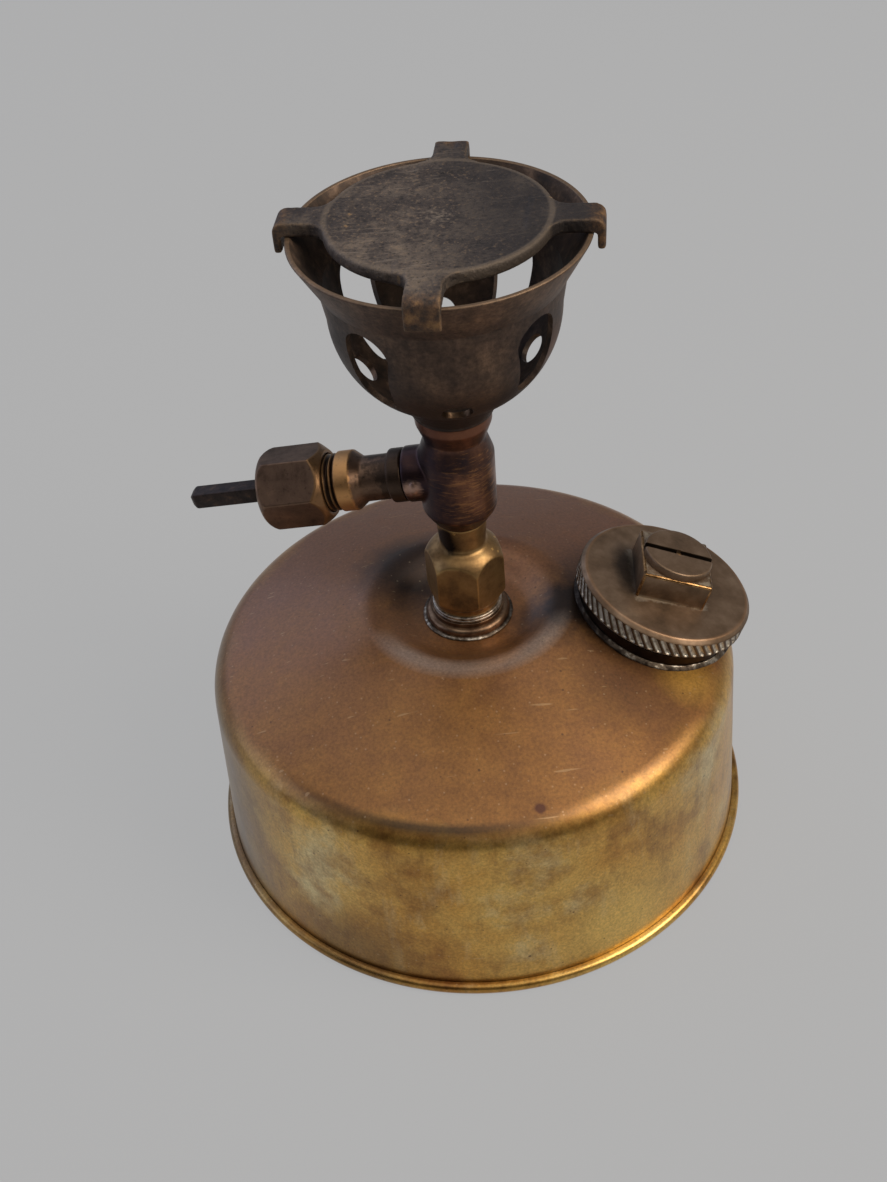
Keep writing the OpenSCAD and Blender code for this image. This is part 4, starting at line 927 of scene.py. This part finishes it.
# The walls of the screw's slot are darkened.
in_slot = add(tree, "Mapping", {"Vector": own, "Rotation": (0, 0, slot_lean)}, vector_type="TEXTURE")
slot_y = add(tree, "SeparateXYZ", {"Vector": in_slot}).outputs["Y"]
across = add(tree, "Math", {0: slot_y}, operation="ABSOLUTE")
slot_wall = add(tree, "MapRange", {"Value": across, "From Min": 0.00072, "From Max": 0.00067})
below_top = add(tree, "MapRange", {"Value": split.outputs["Z"], "From Min": 0.01512, "From Max": 0.0149,
                                   "To Max": 0.9})
slot_high = add(tree, "MapRange", {"Value": split.outputs["Z"], "From Min": 0.0136, "From Max": 0.0138})
slot_depth = add(tree, "Math", {0: below_top, 1: slot_high}, operation="MULTIPLY")
slot_darkening = add(tree, "Math", {0: slot_wall, 1: slot_depth}, operation="MULTIPLY")
slotted = add(tree, "Mix", {"Factor": slot_darkening, "A": shade_and_grime, "B": "15100d"}, data_type="RGBA")
gloss = add(tree, "MapRange", {"Value": tarnish, "From Min": 0.3, "From Max": 0.7, "To Min": 0.5,
                               "To Max": 0.38})
bump = add(tree, "Bump", {"Height": fine, "Strength": 0.18, "Distance": 0.0002})
wire(tree, shader, {"Base Color": slotted, "Roughness": gloss, "Normal": bump, "Metallic": 0.75})

# Rubbed bright brass: copper-gold metal on the edges that the spanner and fingers have polished.
rubbed_brass, tree, shader, place = new_finish("rubbed_bright_brass")
nicks = add(tree, "TexNoise", {"Vector": place, "Scale": 1 / 0.0015, "Detail": 4, "Roughness": 0.65})
colour = add(tree, "ValToRGB", {"Fac": nicks}, [(0.36, "4f3923"), (0.5, "8d6941"), (0.66, "b89265")])
gloss = add(tree, "MapRange", {"Value": nicks, "From Min": 0.3, "From Max": 0.7, "To Min": 0.4,
                               "To Max": 0.24})
wire(tree, shader, {"Base Color": colour, "Roughness": gloss, "Metallic": 0.95})
cap.data.materials.append(cap_brass)
cap.data.materials.append(rubbed_brass)
square_turn = Matrix.Rotation(square_lean, 3, "Z")
for face in cap.data.polygons:
    facing = square_turn @ face.normal
    on_edge = max(abs(c) for c in facing) < 0.97 and face.center.z > 7.7 * MM
    face.material_index = 1 if on_edge else 0
set_down(cap, filler_point, filler_turn)
smooth(cap, 30)
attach(cap, "cap")
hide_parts("filler_cap")

# Safety valve: a small brass plunger with a stem, and a rubber disc let into its foot, which the spring
# presses on the vent hole in the cap's floor.
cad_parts["relief_plunger"].material_slots[0].material = clean_brass
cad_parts["relief_seal"].material_slots[0].material = rubber

# Relief spring: five turns of hard steel wire, coiled round the plunger's stem. On the lamp it shortens
# as the valve lifts; this coil is made at one length.
wire_r, coil_r, coil_turns = 0.4, 3.78, 5
low, high = 0.19 + wire_r, 7.46 - wire_r
spring = blank(bpy.ops.mesh.primitive_circle_add, vertices=14, radius=wire_r * MM,
               location=(coil_r * MM, 0, low * MM), rotation=(math.pi / 2, 0, 0))
spring.name = spring.data.name = "relief_spring_coil"
modified(spring, "SCREW", angle=2 * math.pi, screw_offset=(high - low) / coil_turns * MM,
         iterations=coil_turns, steps=40, render_steps=40)
bpy.ops.object.mode_set(mode="EDIT")
bpy.ops.mesh.select_all(action="SELECT")
bpy.ops.mesh.remove_doubles(threshold=2e-6)
bpy.ops.mesh.fill_holes(sides=0)
bpy.ops.mesh.select_all(action="SELECT")
bpy.ops.mesh.normals_make_consistent(inside=False)
bpy.ops.object.mode_set(mode="OBJECT")
set_down(spring, filler_point, filler_turn)
smooth(spring, 50)

# Spring steel: blue-grey drawn wire, filmed brown by old petrol.
spring_steel, tree, shader, place = new_finish("drawn_spring_steel")
film = add(tree, "TexNoise", {"Vector": place, "Scale": 1 / 0.002, "Detail": 4, "Roughness": 0.6})
colour = add(tree, "ValToRGB", {"Fac": film}, [(0.35, "4d4239"), (0.55, "7c7c7e"), (0.75, "a3a6aa")])
gloss = add(tree, "MapRange", {"Value": film, "From Min": 0.3, "From Max": 0.7, "To Min": 0.45,
                               "To Max": 0.28})
wire(tree, shader, {"Base Color": colour, "Roughness": gloss, "Metallic": 1})
spring.data.materials.append(spring_steel)
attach(spring, "cap")
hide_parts("relief_spring")
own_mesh(spring)

# Relief screw: a slotted brass screw in the cap's square, which holds the safety valve's spring. A
# hole through it lets gas out, and the tip of the valve's stem shows in it.
screw = turned("relief_screw_turned", drawn([
    (0, 7.5), (4.4, 7.5), (4.4, 13.47), (7, 13.47, 0.1), (7, 15.16, 0.45), (0.8, 15.16), (0.8, 11),
    (0, 11)]), 96)
slot_tool = blank(bpy.ops.mesh.primitive_cube_add, size=MM, location=(0, 0, 15 * MM),
                  rotation=(0, 0, slot_lean), scale=(16, 1.3, 1.9))
cut(screw, slot_tool)
set_down(screw, filler_point, filler_turn)
smooth(screw, 30)
stem = turned("relief_stem_tip", drawn([(0, 11.2), (0.55, 11.2), (0.55, 14.9, 0.3), (0, 14.9)]), 32)
set_down(stem, filler_point, filler_turn)
smooth(stem, 50)
stem.data.materials.append(rubbed_brass)
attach(stem, "relief_valve")
screw.data.materials.append(cap_brass)
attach(screw, "cap")
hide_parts("relief_screw")

# Floor, light and camera: a plain pale table, soft light from both sides and from above, and the
# photograph's view from above the front.
table_grey = "b2b2b2"
floor = blank(bpy.ops.mesh.primitive_plane_add, size=4)
floor.name = floor.data.name = "floor"
pale = bpy.data.materials.new("pale_table")
pale.use_nodes = True
tree = pale.node_tree
tree.nodes.clear()
rays = add(tree, "LightPath")
seen = add(tree, "Math", {0: rays.outputs["Is Camera Ray"], 1: rays.outputs["Is Glossy Ray"]},
           operation="MAXIMUM")
share = add(tree, "Math", {0: seen, 1: 0.85}, operation="MULTIPLY")
matt = add(tree, "BsdfDiffuse", {"Color": table_grey})
glow = add(tree, "Emission", {"Color": table_grey, "Strength": 1})
table = add(tree, "MixShader", {0: share, 1: matt, 2: glow})
add(tree, "OutputMaterial", {"Surface": table})
floor.data.materials.append(pale)

world = bpy.data.worlds.new("studio")
world.use_nodes = True
tree = world.node_tree
tree.nodes.clear()
rays = add(tree, "LightPath")
way = add(tree, "SeparateXYZ", {"Vector": add(tree, "TexCoord").outputs["Generated"]})
overhead = add(tree, "MapRange", {"Value": way.outputs["Z"], "From Min": 0.6, "From Max": 0.92,
                                  "To Min": 0.02, "To Max": 0.36})
behind = add(tree, "MapRange", {"Value": way.outputs["Y"], "From Min": -0.1, "From Max": 0.7,
                                "To Max": 0.4})
level = add(tree, "Math", {0: overhead, 1: behind}, operation="MAXIMUM")
room = add(tree, "Background", {"Color": "aab2c0", "Strength": level})
paper = add(tree, "Background", {"Color": table_grey, "Strength": 1})
air = add(tree, "MixShader", {0: rays.outputs["Is Camera Ray"], 1: room, 2: paper})
add(tree, "OutputWorld", {"Surface": air})
bpy.context.scene.world = world

aim = Vector((0, 0, 0.06))
for name, place, side, watts, tint in (
        ("key_right", (0.66, -0.32, 0.7), 0.6, 7.6, "fff4e6"),
        ("fill_left", (-0.95, 0.05, 0.45), 0.7, 2.2, "d4e0ff"),
        ("back_left", (-0.65, 0.75, 0.65), 0.8, 2, "d4e0ff"),
        ("soft_top", (0, -0.12, 1.3), 1.6, 7, "fffaf4")):
    lamp = bpy.data.lights.new(name, "AREA")
    lamp.shape = "RECTANGLE"
    lamp.size = lamp.size_y = side
    lamp.energy = watts
    lamp.color = linear(tint)[:3]
    holder = bpy.data.objects.new(name, lamp)
    holder.location = place
    holder.rotation_euler = (aim - Vector(place)).to_track_quat("-Z", "Y").to_euler()
    bpy.context.collection.objects.link(holder)

azimuth = math.radians(-1.62)
elevation = math.radians(41.99)
roll = math.radians(-5.22)
photo_height = 1182
focal_pixels = 1502
sensor = 36
back = Vector((math.sin(azimuth) * math.cos(elevation), -math.cos(azimuth) * math.cos(elevation),
               math.sin(elevation)))
across = (-back).cross(Vector((0, 0, 1))).normalized()
upward = across.cross(-back)
lens_x = across * math.cos(roll) + upward * math.sin(roll)
lens_y = upward * math.cos(roll) - across * math.sin(roll)
camera = bpy.data.cameras.new("photo_camera")
camera.sensor_fit = "VERTICAL"
camera.sensor_height = sensor
camera.lens = sensor * focal_pixels / photo_height
camera.clip_start = 0.01
viewer = bpy.data.objects.new("photo_camera", camera)
viewer.matrix_world = Matrix((lens_x, lens_y, back)).transposed().to_4x4()
viewer.location = Vector((-11.05, -225.09, 260.07)) * MM
bpy.context.collection.objects.link(viewer)
bpy.context.scene.camera = viewer
bpy.context.scene.view_settings.view_transform = "Standard"
